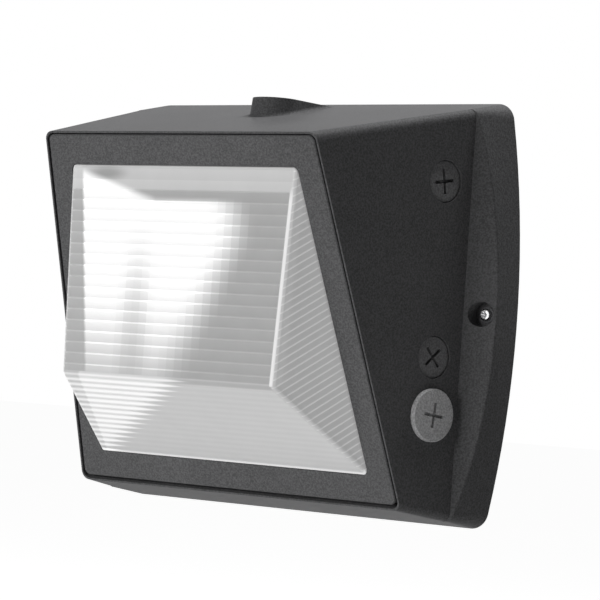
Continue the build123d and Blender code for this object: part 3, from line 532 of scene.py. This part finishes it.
@dataclass(frozen=True)
class Textured(Surface):
    """Finish whose tone, roughness and relief follow a shared effect.

    Attributes:
        effect: The effect.
        grain: How many grains or streaks it has in a metre.
        relief: Depth of its texture.
        strength: Share of that relief that shows.
        tones: Its darkest and lightest tone, as shares of its colour.
        spread: How far its roughness goes down and up.
        gloss: Level of its specular reflection.
    """

    effect: Effect
    grain: float
    relief: float
    strength: float = 0.4
    tones: tuple[float, float] = (0.88, 1.12)
    spread: tuple[float, float] = (0.06, 0.06)
    metallic: float = 0.0
    gloss: float = 0.5

    def cover(self, coat: Coat) -> None:
        """Let colour, roughness and relief follow the effect."""
        texture = coat.texture(self.effect, Grain=self.grain)
        tone = texture.outputs["Tone"]
        dark, light = (shade(self.colour, share) for share in self.tones)
        coat.set(Base_Color=self.speckle(coat, texture, coat.graph.blend(tone, dark, light)))
        coat.set(Metallic=self.metallic, Specular_IOR_Level=self.gloss)
        coat.roughen(tone, self.roughness, *self.spread)
        coat.bump(texture.outputs["Height"], self.strength, self.relief)

    def speckle(self, coat: Coat, texture: bpy.types.Node, colour: Socket) -> Socket:
        """Leave the colour as it is; a finish with specks puts them in it here."""
        return colour


@dataclass(frozen=True)
class PowderCoat(Textured):
    """Powder coat on a casting.

    Attributes:
        specks: How strong its pale specks are.
    """

    roughness: float = 0.42
    effect: Effect = POWDER
    grain: float = 1100.0
    relief: float = 0.00009
    strength: float = 0.55
    tones: tuple[float, float] = (0.7, 1.3)
    spread: tuple[float, float] = (0.05, 0.08)
    specks: float = 0.35
    gloss: float = 0.005

    def speckle(self, coat: Coat, texture: bpy.types.Node, colour: Socket) -> Socket:
        """Put the effect's pale specks in the colour."""
        coat.graph.feed(texture.inputs["Specks"], self.specks)
        pale = shade(self.colour, gain=4.0, lift=0.05)
        return coat.graph.blend(texture.outputs["Speck"], colour, pale)


@dataclass(frozen=True)
class Metal(Textured):
    """Bare or plated metal."""

    roughness: float = 0.3
    effect: Effect = BRUSHED
    grain: float = 900.0
    relief: float = 0.00003
    tones: tuple[float, float] = (0.78, 1.0)
    spread: tuple[float, float] = (0.08, 0.12)
    metallic: float = 1.0


@dataclass(frozen=True)
class Moulding(Textured):
    """Moulded plastic, rubber, enamel or solder mask."""

    roughness: float = 0.5
    effect: Effect = MOULDED
    grain: float = 2600.0
    relief: float = 0.00002


@dataclass(frozen=True)
class LitPhosphor(Surface):
    """Yellow phosphor of the LED packages, lit, in whites from warm to cool."""

    roughness: float = 0.35
    strength: float = 2.0
    warm: Colour = (1.0, 0.97, 0.9)
    cool: Colour = (1.0, 1.0, 0.97)

    def cover(self, coat: Coat) -> None:
        """Give the bare material its looks."""
        tone = coat.texture(MOULDED).outputs["Tone"]
        colour = coat.graph.blend(tone, shade(self.colour, 0.8), shade(self.colour))
        white = coat.graph.blend(tone, shade(self.warm), shade(self.cool))
        coat.set(Base_Color=colour, Roughness=self.roughness)
        coat.set(Emission_Color=white, Emission_Strength=self.strength)


@dataclass(frozen=True)
class Glow:
    """Patch where the light source shows through the front of the lens.

    Attributes:
        light: Light of the patch.
        fall: What the light loses from one crest to the next.
        flank: What the flanks of the rows add.
        lag_x: How far the flutes carry the light, as a share of their pitch.
        lag_z: How far the rows carry it.
        left: Its left edge.
        right: Its right edge, at the middle height.
        top: Its top edge.
        bottom: Its bottom edge.
        low_z: Height under which the right edge leans in.
        low_lean: How much it leans in there.
        high_z: Height over which the right edge leans in.
        high_lean: How much it leans in there.
        drop_x: Left of this, the top edge drops.
        drop: How much it drops there.
        dip_x: Middle of the darker strip down the patch.
        dip_edge: Distance from it of the strip's edge and of its darkest part.
        dip_z: Heights between which the strip sets in.
        dip: How dark the strip gets.
    """

    light: float = 0.72
    fall: float = -0.22
    flank: float = 0.5
    lag_x: float = 0.55
    lag_z: float = 0.6
    left: Span = (-58.5 * MM, -56.0 * MM)
    right: Span = (50.0 * MM, 20.0 * MM)
    top: Span = (48.5 * MM, 43.0 * MM)
    bottom: Span = (-75.0 * MM, 10.0 * MM)
    low_z: float = 27.0 * MM
    low_lean: float = 0.5
    high_z: float = 36.0 * MM
    high_lean: float = 0.4
    drop_x: float = -15.0 * MM
    drop: float = -0.29
    dip_x: float = -23.0 * MM
    dip_edge: Span = (14.0 * MM, 1.0 * MM)
    dip_z: Span = (44.0 * MM, -10.0 * MM)
    dip: float = -0.42


@dataclass(frozen=True)
class PrismGlass(Surface):
    """Pressed glass of the lens, with the light of the lit lamp spread over it by its prisms.

    The lights are what each part sends out of itself or adds to that, 1 being white.

    Attributes:
        skin: How far from a face its outer skin begins.
        band_edge: Heights where the smooth band along the top begins.
        lean: How much the left strip of the front leans, for each metre up.
        row_flank: Where the bright flanks lie, in the phase of the rows.
        row_fall: What the rows lose from one crest to the next.
        rib_flank: Where they lie in the phase of the ribs.
        corner_lean: How much the underside's bright corner leans, for each metre down.
        corner_teeth: How far its edge is drawn in on the lines.
        corner_base: What it adds between the lines.
        corner_light: What it adds on the lines.
        lip_light: What the lip along the underside's lower edge adds.
        under_strip: What the strip at the underside's left adds.
        ridge_inset: How far the bright edge lies inside the side face's corner.
        painted_shade_size: Half width and half height of the patch of painted shade.
    """

    name: str = "prism_glass"
    colour: Colour = (0.40, 0.40, 0.40)
    roughness: float = 0.36
    transmission: float = 0.12
    refraction: float = 1.47
    gloss: float = 0.2
    wedge: Wedge = Wedge()
    glow: Glow = Glow()
    skin: Span = (-1.7 * MM, -1.0 * MM)
    band_edge: Span = (50.7 * MM, 51.5 * MM)
    band_light: float = 0.18
    field_light: float = 0.062
    row_flank: Span = (0.82, 0.92)
    flank_light: float = 0.15
    row_fall: float = -0.05
    lean: float = 0.115
    strip_edge: Span = (-57.0 * MM, -59.0 * MM)
    strip_light: float = 0.05
    side_light: float = 0.23
    rib_flank: Span = (0.74, 0.92)
    rib_light: float = 0.12
    under_light: float = 0.18
    line_light: float = 0.035
    corner_lean: float = 2.17
    corner_teeth: float = -14.0 * MM
    corner_edge: Span = (4.0 * MM, -10.0 * MM)
    corner_base: float = 0.12
    corner_light: float = 0.34
    lip_edge: Span = (1.5 * MM, 0.6 * MM)
    lip_light: float = 0.25
    under_lean: float = 0.63
    under_edge: Span = (-56.0 * MM, -58.0 * MM)
    under_strip: float = -0.14
    ridge_inset: float = 1.3 * MM
    ridge_edge: Span = (1.3 * MM, 0.6 * MM)
    ridge_foot: Span = (0.0, 1.0 * MM)
    ridge_head: Span = (62.0 * MM, 46.0 * MM)
    ridge_light: float = 0.46
    nose_edge: Span = (1.6 * MM, 0.4 * MM)
    nose_light: float = -0.12
    painted_shade_place: tuple[float, float, float] = (-48.0 * MM, 0.0, 59.5 * MM)
    painted_shade_size: tuple[float, float] = (14.0 * MM, 4.0 * MM)
    painted_shade_edge: Span = (1.3, 0.2)
    painted_shade_colour: Colour = (0.12, 0.12, 0.12)

    def cover(self, coat: Coat) -> None:
        """Give the bare material its looks."""
        graph = coat.graph
        lit = LensLight(graph, self)
        swirl = graph.noise(lit.place, scale=90.0, detail=3.0)
        body = graph.blend(swirl, shade(self.colour, 0.9), shade(self.colour))
        # Painted shade: a dark patch in the base colour at the left of the top band, where the
        # dark end of the reflector shows through the glass.
        with_painted_shade = graph.blend(lit.painted_shade_patch(), body, shade(self.painted_shade_colour))
        # Painted light: the lit lamp's glow through the prisms, their bright flanks, highlights
        # and darker shade lines are painted on the glass as emission.
        level = graph.blend(lit.total(), BLACK, WHITE)
        tone = graph.noise(lit.place, scale=300.0, detail=2.0)
        ripple = graph.noise(lit.place, scale=240.0, detail=2.0)
        coat.set(Base_Color=with_painted_shade, IOR=self.refraction, Specular_IOR_Level=self.gloss)
        coat.set(Transmission_Weight=self.transmission)
        coat.set(Emission_Color=level, Emission_Strength=1.0)
        coat.roughen(tone, self.roughness, less=0.04, more=0.06)
        coat.bump(ripple, strength=0.15, distance=0.00003)


@dataclass
class LensLight:
    """Nodes that lay the light of the lit lamp over the prisms of the lens."""

    graph: Graph
    glass: PrismGlass

    def __post_init__(self) -> None:
        """Look up the shaded point."""
        self.wedge = self.glass.wedge
        self.place = self.graph.here()
        self.x = self.graph.axis(self.place, (1.0, 0.0, 0.0))
        self.z = self.graph.axis(self.place, (0.0, 0.0, 1.0))

    def on_face(self, name: str) -> Socket:
        """Mask the outer skin of one face of the wedge."""
        point, normal = self.wedge.faces()[name]
        along = self.graph.axis(self.place, normal)
        height = self.graph.math("SUBTRACT", along, point.dot(normal))
        return self.graph.smooth(height, *self.glass.skin)

    def phase(self, relief: Relief) -> Socket:
        """Measure each point from the crest above it, 0 there and 1 at the next."""
        rows = relief.value
        along = self.graph.axis(self.place, rows.across)
        below = self.graph.math("SUBTRACT", rows.first, along)
        return self.graph.math("FRACT", self.graph.math("DIVIDE", below, rows.pitch))

    def carried(self, relief: Relief, lag: float, along: Socket) -> Socket:
        """Shift a coordinate within each prism by a share of the pitch, as it carries light."""
        middle = self.graph.math("SUBTRACT", self.phase(relief), 0.5)
        return self.graph.line(middle, lag * relief.value.pitch, along)

    def past(self, first: Number, second: Number) -> Socket:
        """Measure how far one value lies over another, 0 where it lies under it."""
        return self.graph.math("MAXIMUM", self.graph.math("SUBTRACT", first, second), 0.0)

    def spread(self) -> Socket:
        """Spread the glow over the cells of the front, from 0 to 1."""
        graph, glow = self.graph, self.glass.glow
        cell_x = self.carried(Relief.FLUTES, glow.lag_x, self.x)
        cell_z = self.carried(Relief.ROWS, glow.lag_z, self.z)
        edge = graph.line(self.past(glow.low_z, cell_z), glow.low_lean, cell_x)
        edge = graph.line(self.past(cell_z, glow.high_z), glow.high_lean, edge)
        under_top = graph.line(self.past(glow.drop_x, self.x), glow.drop, self.z)
        off_dip = graph.math("ABSOLUTE", graph.math("SUBTRACT", cell_x, glow.dip_x))
        depth = graph.times(graph.smooth(cell_z, *glow.dip_z), glow.dip)
        dip = graph.line(graph.smooth(off_dip, *glow.dip_edge), depth, 1.0)
        return graph.times(
            graph.smooth(graph.line(self.z, self.glass.lean, self.x), *glow.left),
            graph.smooth(edge, *glow.right),
            dip,
            graph.smooth(under_top, *glow.top),
            graph.smooth(cell_z, *glow.bottom),
        )

    def front(self) -> Socket:
        """Light the front: smooth top band, rows with bright flanks, glow and left strip."""
        graph, glass, glow = self.graph, self.glass, self.glass.glow
        row = self.phase(Relief.ROWS)
        band = graph.smooth(self.z, *glass.band_edge)
        below = graph.math("SUBTRACT", 1.0, band)
        flank = graph.times(graph.smooth(row, *glass.row_flank), below)
        level = graph.line(flank, glass.flank_light, glass.field_light)
        level = graph.line(row, glass.row_fall, level)
        level = graph.line(band, glass.band_light, level)
        gain = graph.line(row, glow.fall, glow.light)
        gain = graph.line(flank, glow.flank, gain)
        level = graph.line(self.spread(), gain, level)
        tilted = graph.line(self.z, glass.lean, self.x)
        strip = graph.smooth(tilted, *glass.strip_edge)
        return graph.line(strip, glass.strip_light, level)

    def under(self) -> Socket:
        """Light the sloping underside, with its bright striped corner at the left."""
        graph, glass = self.graph, self.glass
        drop = graph.math("SUBTRACT", self.wedge.nose_z, self.z)
        phase = self.phase(Relief.LINES)
        wave = graph.math("ABSOLUTE", graph.line(phase, gain=2.0, base=-1.0))
        edge = graph.line(drop, glass.corner_lean, self.x)
        jagged = graph.line(wave, glass.corner_teeth, edge)
        inside = graph.smooth(jagged, *glass.corner_edge)
        stripes = graph.line(wave, glass.corner_light, glass.corner_base)
        margin = graph.line(drop, glass.under_lean, self.x)
        strip = graph.smooth(margin, *glass.under_edge)
        point, normal = self.wedge.faces()["rim"]
        rise = graph.math("SUBTRACT", point.dot(normal), graph.axis(self.place, normal))
        lip = graph.smooth(rise, *glass.lip_edge)
        level = graph.line(wave, glass.line_light, glass.under_light)
        level = graph.line(inside, stripes, level)
        level = graph.line(strip, glass.under_strip, level)
        return graph.line(lip, glass.lip_light, level)

    def side(self) -> Socket:
        """Light the side faces, brighter on the flanks of their slanting ribs."""
        flank = self.graph.smooth(self.phase(Relief.RIBS), *self.glass.rib_flank)
        return self.graph.line(flank, self.glass.rib_light, self.glass.side_light)

    # Painted highlight: a bright line in the emission along the rounded edge between the front
    # and the right side.
    def ridge(self) -> Socket:
        """Gather light in the rounded edge between the front and the right side."""
        graph, glass, wedge = self.graph, self.glass, self.wedge
        rise = wedge.top_z - wedge.nose_z
        lean = (wedge.half_at(wedge.top_z) - wedge.nose_half) / rise
        above = graph.math("SUBTRACT", self.z, wedge.nose_z)
        edge = graph.line(above, lean, wedge.nose_half - glass.ridge_inset)
        off = graph.math("ABSOLUTE", graph.math("SUBTRACT", edge, self.x))
        return graph.times(
            graph.smooth(off, *glass.ridge_edge),
            graph.smooth(above, *glass.ridge_foot),
            graph.smooth(self.z, *glass.ridge_head),
            glass.ridge_light,
        )

    # Painted shade: the dark end of the reflector, seen through the glass, is put into the base
    # colour as a dark patch.
    def painted_shade_patch(self) -> Socket:
        """Mask the dark end of the reflector that shows through the left of the top band."""
        graph, glass = self.graph, self.glass
        shifted = graph.vector("SUBTRACT", self.place, glass.painted_shade_place)
        half_width, half_height = glass.painted_shade_size
        shares = (1.0 / half_width, 0.0, 1.0 / half_height)
        distance = graph.vector("LENGTH", graph.vector("MULTIPLY", shifted, shares))
        return graph.smooth(distance, *glass.painted_shade_edge)

    def total(self) -> Socket:
        """Light the whole lens, from 0 to 1."""
        graph = self.graph
        sides = graph.math("MAXIMUM", self.on_face("left"), self.on_face("right"))
        level = graph.times(self.on_face("front"), self.front())
        for mask, part in ((self.on_face("bottom"), self.under()), (sides, self.side())):
            level = graph.math("MAXIMUM", level, graph.times(mask, part))
        # Painted shade: a darker line along the nose, kept off the side faces.
        off_nose = graph.math("ABSOLUTE", graph.math("SUBTRACT", self.z, self.wedge.nose_z))
        nose = graph.smooth(off_nose, *self.glass.nose_edge)
        nose = graph.times(nose, graph.math("SUBTRACT", 1.0, sides))
        level = graph.math("MAXIMUM", graph.line(nose, self.glass.nose_light, level), 0.0)
        level = graph.math("MAXIMUM", level, self.ridge())
        return graph.math("MINIMUM", level, 1.0)


class Finish(Enum):
    """Every finish on the lamp."""

    HOUSING = PowderCoat("housing_powder", (0.091, 0.091, 0.093))
    BEZEL = PowderCoat("bezel_powder", (0.1, 0.1, 0.102), roughness=0.52, specks=0.15)
    PLUG_DARK = PowderCoat("plug_paint_dark", (0.165, 0.165, 0.168), roughness=0.4, specks=0.0)
    PLUG_GREY = PowderCoat("plug_paint_grey", (0.43, 0.43, 0.435), roughness=0.4, specks=0.0)
    ZINC = Metal("zinc_plate", (0.66, 0.66, 0.68), 0.34)
    STAINLESS = Metal("stainless_steel", (0.78, 0.78, 0.79), 0.18, grain=1400.0)
    BLACK_ZINC = Metal("black_zinc_plate", (0.05, 0.05, 0.052), 0.42)
    GALVANISED = Metal("galvanised_steel", (0.56, 0.57, 0.58), 0.42, grain=600.0)
    DRIVER = Metal("driver_case", (0.7, 0.7, 0.72), 0.4, grain=700.0)
    GROUND = Metal("green_plating", (0.08, 0.42, 0.16), 0.36)
    RUBBER = Moulding("seal_rubber", (0.025, 0.025, 0.026), 0.7)
    PAD = Moulding("thermal_pad", (0.42, 0.47, 0.52), 0.65)
    SOLDER_MASK = Moulding("solder_mask_white", (0.82, 0.83, 0.82), 0.35, tones=(0.96, 1.04))
    ENAMEL = Moulding("reflector_enamel", (0.84, 0.85, 0.85), 0.3, tones=(0.96, 1.04))
    NYLON = Moulding("connector_nylon", (0.8, 0.79, 0.74), 0.4)
    TERMINAL = Moulding("terminal_plastic", (0.05, 0.05, 0.052), 0.45)
    LEAD_RED = Moulding("lead_red", (0.45, 0.03, 0.025), 0.4)
    LEAD_BLACK = Moulding("lead_black", (0.03, 0.03, 0.03), 0.4)
    LEAD_GREEN = Moulding("lead_green", (0.03, 0.26, 0.07), 0.4)
    PHOSPHOR = LitPhosphor("lit_phosphor", (0.95, 0.84, 0.35))
    GLASS = PrismGlass()

    def dress(self, piece: bpy.types.Object) -> None:
        """Give a piece this finish all over, built when it is first asked for."""
        found = bpy.data.materials.get(self.value.name) or self.value.build()
        piece.data.materials.clear()
        piece.data.materials.append(found)


# ---------------------------------------------------------------- sub-assemblies
@dataclass
class Lens:
    """Wedge-shaped prismatic lens, made as one hollow pressing that replaces its CAD solid.

    Attributes:
        block: Size of the block that the wedge is cut from.
        neck: How far the lens runs back through the frame.
        border: Width of the plain border round each set of prisms.
        on_line: How close to a valley's line its vertices lie.
        smooth_under: Faces meeting under this many degrees are shaded as one surface.
    """

    wedge: Wedge = Wedge()
    block: float = 300.0 * MM
    wall: float = 2.6 * MM
    neck: float = 4.0 * MM
    flange: float = 4.8 * MM
    edge_round: float = 1.6 * MM
    edge_steps: int = 4
    border: float = 1.0 * MM
    on_line: float = 0.004 * MM
    smooth_under: float = 18.0
    piece: bpy.types.Object = field(init=False)

    def cut_wedge(self) -> None:
        """Cut a block to the wedge that stands out of the rim plane."""
        deselect()
        point, _ = self.wedge.faces()["front"]
        bpy.ops.mesh.primitive_cube_add(size=self.block, location=point)
        self.piece = bpy.context.active_object
        self.piece.name = "prism_lens"
        self.piece.data.name = "prism_lens"
        bpy.ops.object.transform_apply(location=True, rotation=True, scale=True)
        for point, normal in self.wedge.faces().values():
            open_for_edit(self.piece)
            bpy.ops.mesh.select_all(action="SELECT")
            cut(point, normal, remove=True)
        bpy.ops.object.mode_set(mode="OBJECT")

    def open_back(self) -> None:
        """Take away the face that lies on the rim plane."""
        _, normal = self.wedge.faces()["rim"]
        pick(self.piece, "polygons", faces_along(self.piece, normal))
        bpy.ops.mesh.delete(type="FACE")
        bpy.ops.object.mode_set(mode="OBJECT")

    def round_edges(self) -> None:
        """Round every edge that two faces of the open wedge share."""
        pick(self.piece, "edges", ~self.open_edges())
        bpy.ops.mesh.bevel(offset=self.edge_round, segments=self.edge_steps, profile=0.5)
        bpy.ops.object.mode_set(mode="OBJECT")

    def press(self, name: str, *reliefs: Relief) -> None:
        """Press sets of prisms into one face, inside a plain border."""
        _, normal = self.wedge.faces()[name]
        pick(self.piece, "polygons", faces_along(self.piece, normal))
        bpy.ops.mesh.inset(thickness=self.border, depth=0.0, use_boundary=True)
        bpy.ops.mesh.hide(unselected=True)
        sets = [relief.value for relief in reliefs]
        for prisms in sets:
            across = Vector(prisms.across)
            for crest in prisms.crests():
                for place in (crest, crest + prisms.step):
                    bpy.ops.mesh.select_all(action="SELECT")
                    cut(across * place, across, remove=False)
        bpy.ops.object.mode_set(mode="OBJECT")
        shown = ~read(self.piece.data.vertices, "hide", 1).astype(bool)
        valleys = [self.valley(prisms) & shown for prisms in sets]
        open_for_edit(self.piece)
        bpy.ops.mesh.reveal(select=False)
        for prisms, chosen in zip(sets, valleys):
            pick(self.piece, "vertices", chosen)
            bpy.ops.transform.translate(value=-normal * prisms.depth)
        bpy.ops.object.mode_set(mode="OBJECT")

    def valley(self, prisms: Prisms) -> np.ndarray:
        """Find the vertices in the valleys of a set of prisms."""
        spots = read(self.piece.data.vertices, "co", 3)
        along = spots @ np.array(prisms.across)
        chosen = np.zeros(len(spots), bool)
        for crest in prisms.crests():
            chosen |= np.abs(along - crest - prisms.step) < self.on_line
        return chosen & (spots[:, 2] <= prisms.below)

    def make_neck(self) -> None:
        """Run the open edge back through the frame and out into the clamped flange."""
        wedge = self.wedge
        back = -wedge.outward * self.neck
        pick(self.piece, "edges", self.open_edges())
        bpy.ops.mesh.extrude_region_move(TRANSFORM_OT_translate={"value": back})
        middle = wedge.rim_point((wedge.window_top + wedge.window_bottom) / 2)
        wide = 1.0 + self.flange / wedge.window_half
        tall = 1.0 + 2 * self.flange / (wedge.window_top - wedge.window_bottom)
        bpy.ops.mesh.extrude_region_move()
        bpy.ops.transform.resize(value=(wide, 1.0, tall), center_override=middle + back)
        bpy.ops.object.mode_set(mode="OBJECT")
        self.level_flange()

    def level_flange(self) -> None:
        """Bring the flange's edge back onto the plane of its face."""
        outward = self.wedge.outward
        spots = read(self.piece.data.vertices, "co", 3)
        level = self.wedge.rim_point(0.0) - outward * self.neck
        depth = (spots - np.array(level)) @ np.array(outward)
        chosen = self.open_edges()
        pairs = [edge.vertices[:] for edge in self.piece.data.edges if chosen[edge.index]]
        rim = np.isin(np.arange(len(spots)), np.array(pairs))
        spots[:, 1] -= np.where(rim, depth / outward.y, 0.0)
        self.piece.data.vertices.foreach_set("co", spots.ravel())

    def open_edges(self) -> np.ndarray:
        """Find the edges that belong to one face only."""
        count: dict[tuple[int, int], int] = {}
        for polygon in self.piece.data.polygons:
            for key in polygon.edge_keys:
                count[key] = count.get(key, 0) + 1
        keys = [tuple(sorted(edge.vertices)) for edge in self.piece.data.edges]
        return np.array([count.get(key, 0) == 1 for key in keys])

    def thicken(self) -> None:
        """Give the skin the thickness of the glass."""
        deselect()
        self.piece.select_set(True)
        bpy.context.view_layer.objects.active = self.piece
        solid = self.piece.modifiers.new("glass", "SOLIDIFY")
        solid.thickness = self.wall
        solid.offset = -1.0
        bpy.ops.object.modifier_apply(modifier=solid.name)

    def build(self) -> None:
        """Make the lens and put it in place of its CAD solid."""
        self.cut_wedge()
        self.open_back()
        self.round_edges()
        self.press("front", Relief.ROWS, Relief.FLUTES)
        self.press("bottom", Relief.LINES)
        for name in ("left", "right"):
            self.press(name, Relief.RIBS)
        self.make_neck()
        self.thicken()
        settle(self.piece, self.smooth_under)
        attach(self.piece, "housing")
        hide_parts("lens")
        Finish.GLASS.dress(self.piece)
        LOG.info("lens: %d faces", len(self.piece.data.polygons))


@dataclass
class CadPieces:
    """CAD nodes whose shape stays, and the finish of each, by name or by a part of the name."""

    frame: dict
    finishes: dict[str, Finish] = field(default_factory=lambda: {
        "housing": Finish.HOUSING,
        "bezel_frame": Finish.BEZEL,
        "lead_grommet": Finish.RUBBER,
        "thermal_pad": Finish.PAD,
        "led_board": Finish.SOLDER_MASK,
        "led_packages": Finish.PHOSPHOR,
        "board_connector": Finish.NYLON,
        "reflector": Finish.ENAMEL,
        "driver": Finish.DRIVER,
        "terminal_block": Finish.TERMINAL,
        "ground_screw": Finish.GROUND,
        "output_leads": Finish.LEAD_RED,
        "supply_leads": Finish.LEAD_BLACK,
        "ground_lead": Finish.LEAD_GREEN,
        "wall_plate": Finish.GALVANISED,
        "large_plug_right": Finish.PLUG_GREY,
    })
    kinds: tuple[tuple[str, Finish], ...] = (
        ("gasket", Finish.RUBBER),
        ("o_ring", Finish.RUBBER),
        ("plug", Finish.PLUG_DARK),
        ("side_washer", Finish.BLACK_ZINC),
        ("side_screw", Finish.STAINLESS),
    )

    def finish_of(self, name: str) -> Finish:
        """Find a node's finish: its own, or the one of its kind."""
        if name in self.finishes:
            return self.finishes[name]
        for part, finish in self.kinds:
            if part in name:
                return finish
        return Finish.ZINC

    def dress_all(self) -> None:
        """Dress every node that is shown."""
        for name, node in self.frame["nodes"].items():
            if not node.hide_render:
                self.finish_of(name).dress(node)
                LOG.info("%s: %s", name, self.finish_of(name).name)


@dataclass(frozen=True)
class Lamp:
    """Soft square lamp, with its size in metres and its power in watts."""

    name: str
    place: tuple[float, float, float]
    size: float
    power: float

    def build(self, target: Vector) -> None:
        """Put the lamp in the scene, shining at a point."""
        data = bpy.data.lights.new(self.name, "AREA")
        data.shape = "SQUARE"
        data.size = self.size
        data.energy = self.power
        lamp = bpy.data.objects.new(self.name, data)
        lamp.location = self.place
        aim = target - Vector(self.place)
        lamp.rotation_mode = "QUATERNION"
        lamp.rotation_quaternion = aim.to_track_quat("-Z", "Y")
        bpy.context.collection.objects.link(lamp)


@dataclass(frozen=True)
class Studio:
    """Floor, lamps, world and camera.

    Attributes:
        pixels: Width of the photograph.
        focal_pixels: Its focal length in pixels.
        sensor: Width of the camera's sensor in millimetres.
        clip: Nearest and farthest distance that the camera shows.
        fill: Strength of the world's light on matt surfaces.
        floor_glow: What the floor adds where it is looked at, so that it looks white.
    """

    pixels: float = 600.0
    focal_pixels: float = 2721.353
    sensor: float = 36.0
    azimuth: float = 36.376
    elevation: float = -1.528
    roll: float = 3.923
    target: tuple[float, float, float] = (34.982 * MM, -60.0 * MM, 1.482 * MM)
    distance: float = 1382.527 * MM
    clip: tuple[float, float] = (0.05, 100.0)
    lamps: tuple[Lamp, ...] = (
        Lamp("key", (-0.5, -2.2, 0.3), size=0.9, power=27.0),
        Lamp("top", (0.2, 0.5, 1.4), size=0.8, power=36.0),
        Lamp("low", (-0.35, -1.0, -0.36), size=0.4, power=2.5),
    )
    fill: float = 0.04
    floor_z: float = -0.42
    floor_size: float = 30.0
    floor_grey: float = 0.6
    floor_glow: float = 0.95

    def place_camera(self) -> None:
        """Put the camera where the photograph was taken from."""
        azimuth, elevation = math.radians(self.azimuth), math.radians(self.elevation)
        back = Vector((
            math.sin(azimuth) * math.cos(elevation),
            -math.cos(azimuth) * math.cos(elevation),
            math.sin(elevation),
        ))
        right = Vector((0.0, 0.0, 1.0)).cross(back).normalized()
        up = back.cross(right)
        roll = math.radians(self.roll)
        turned_right = right * math.cos(roll) + up * math.sin(roll)
        turned_up = up * math.cos(roll) - right * math.sin(roll)
        data = bpy.data.cameras.new("camera")
        data.sensor_width = self.sensor
        data.lens = self.focal_pixels / self.pixels * self.sensor
        data.clip_start, data.clip_end = self.clip
        camera = bpy.data.objects.new("camera", data)
        turn = Matrix((turned_right, turned_up, back)).transposed().to_4x4()
        spot = Vector(self.target) + back * self.distance
        camera.matrix_world = Matrix.Translation(spot) @ turn
        bpy.context.collection.objects.link(camera)
        bpy.context.scene.camera = camera

    def looked_at(self, graph: Graph) -> Socket:
        """Mask the rays that show the background, straight or in metal or glass."""
        path = graph.add("ShaderNodeLightPath").outputs
        mirrored = graph.math("MAXIMUM", path["Is Glossy Ray"], path["Is Transmission Ray"])
        return graph.math("MAXIMUM", path["Is Camera Ray"], mirrored)

    def world(self) -> None:
        """Make even pale surroundings that look white in the background."""
        world = bpy.data.worlds.new("studio_world")
        world.use_nodes = True
        graph = Graph(world.node_tree)
        strength = graph.scale(self.looked_at(graph), self.fill, 1.0)
        background = graph.fed("ShaderNodeBackground", {"Color": WHITE, "Strength": strength})
        graph.fed("ShaderNodeOutputWorld", {"Surface": background.outputs["Background"]})
        bpy.context.scene.world = world

    def floor(self) -> None:
        """Lay the pale floor."""
        deselect()
        bpy.ops.mesh.primitive_plane_add(size=self.floor_size, location=(0, 0, self.floor_z))
        plane = bpy.context.active_object
        plane.name = "floor"
        material = bpy.data.materials.new("pale_floor")
        material.use_nodes = True
        graph = Graph(material.node_tree)
        matte = graph.fed("ShaderNodeBsdfDiffuse", {"Color": (*[self.floor_grey] * 3, 1.0)})
        strength = graph.times(self.looked_at(graph), self.floor_glow)
        white = graph.fed("ShaderNodeEmission", {"Strength": strength})
        both = graph.add("ShaderNodeAddShader")
        graph.feed(both.inputs[0], matte.outputs["BSDF"])
        graph.feed(both.inputs[1], white.outputs["Emission"])
        graph.fed("ShaderNodeOutputMaterial", {"Surface": both.outputs["Shader"]})
        plane.data.materials.append(material)

    def build(self) -> None:
        """Set up the whole studio."""
        self.place_camera()
        for lamp in self.lamps:
            lamp.build(Vector(self.target))
        self.world()
        self.floor()
        bpy.context.scene.view_settings.view_transform = "Standard"


def main() -> None:
    logging.basicConfig(level=logging.INFO, format="%(name)s %(message)s")
    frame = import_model()
    Lens().build()
    CadPieces(frame).dress_all()
    Studio().build()


if __name__ == "__main__":
    main()
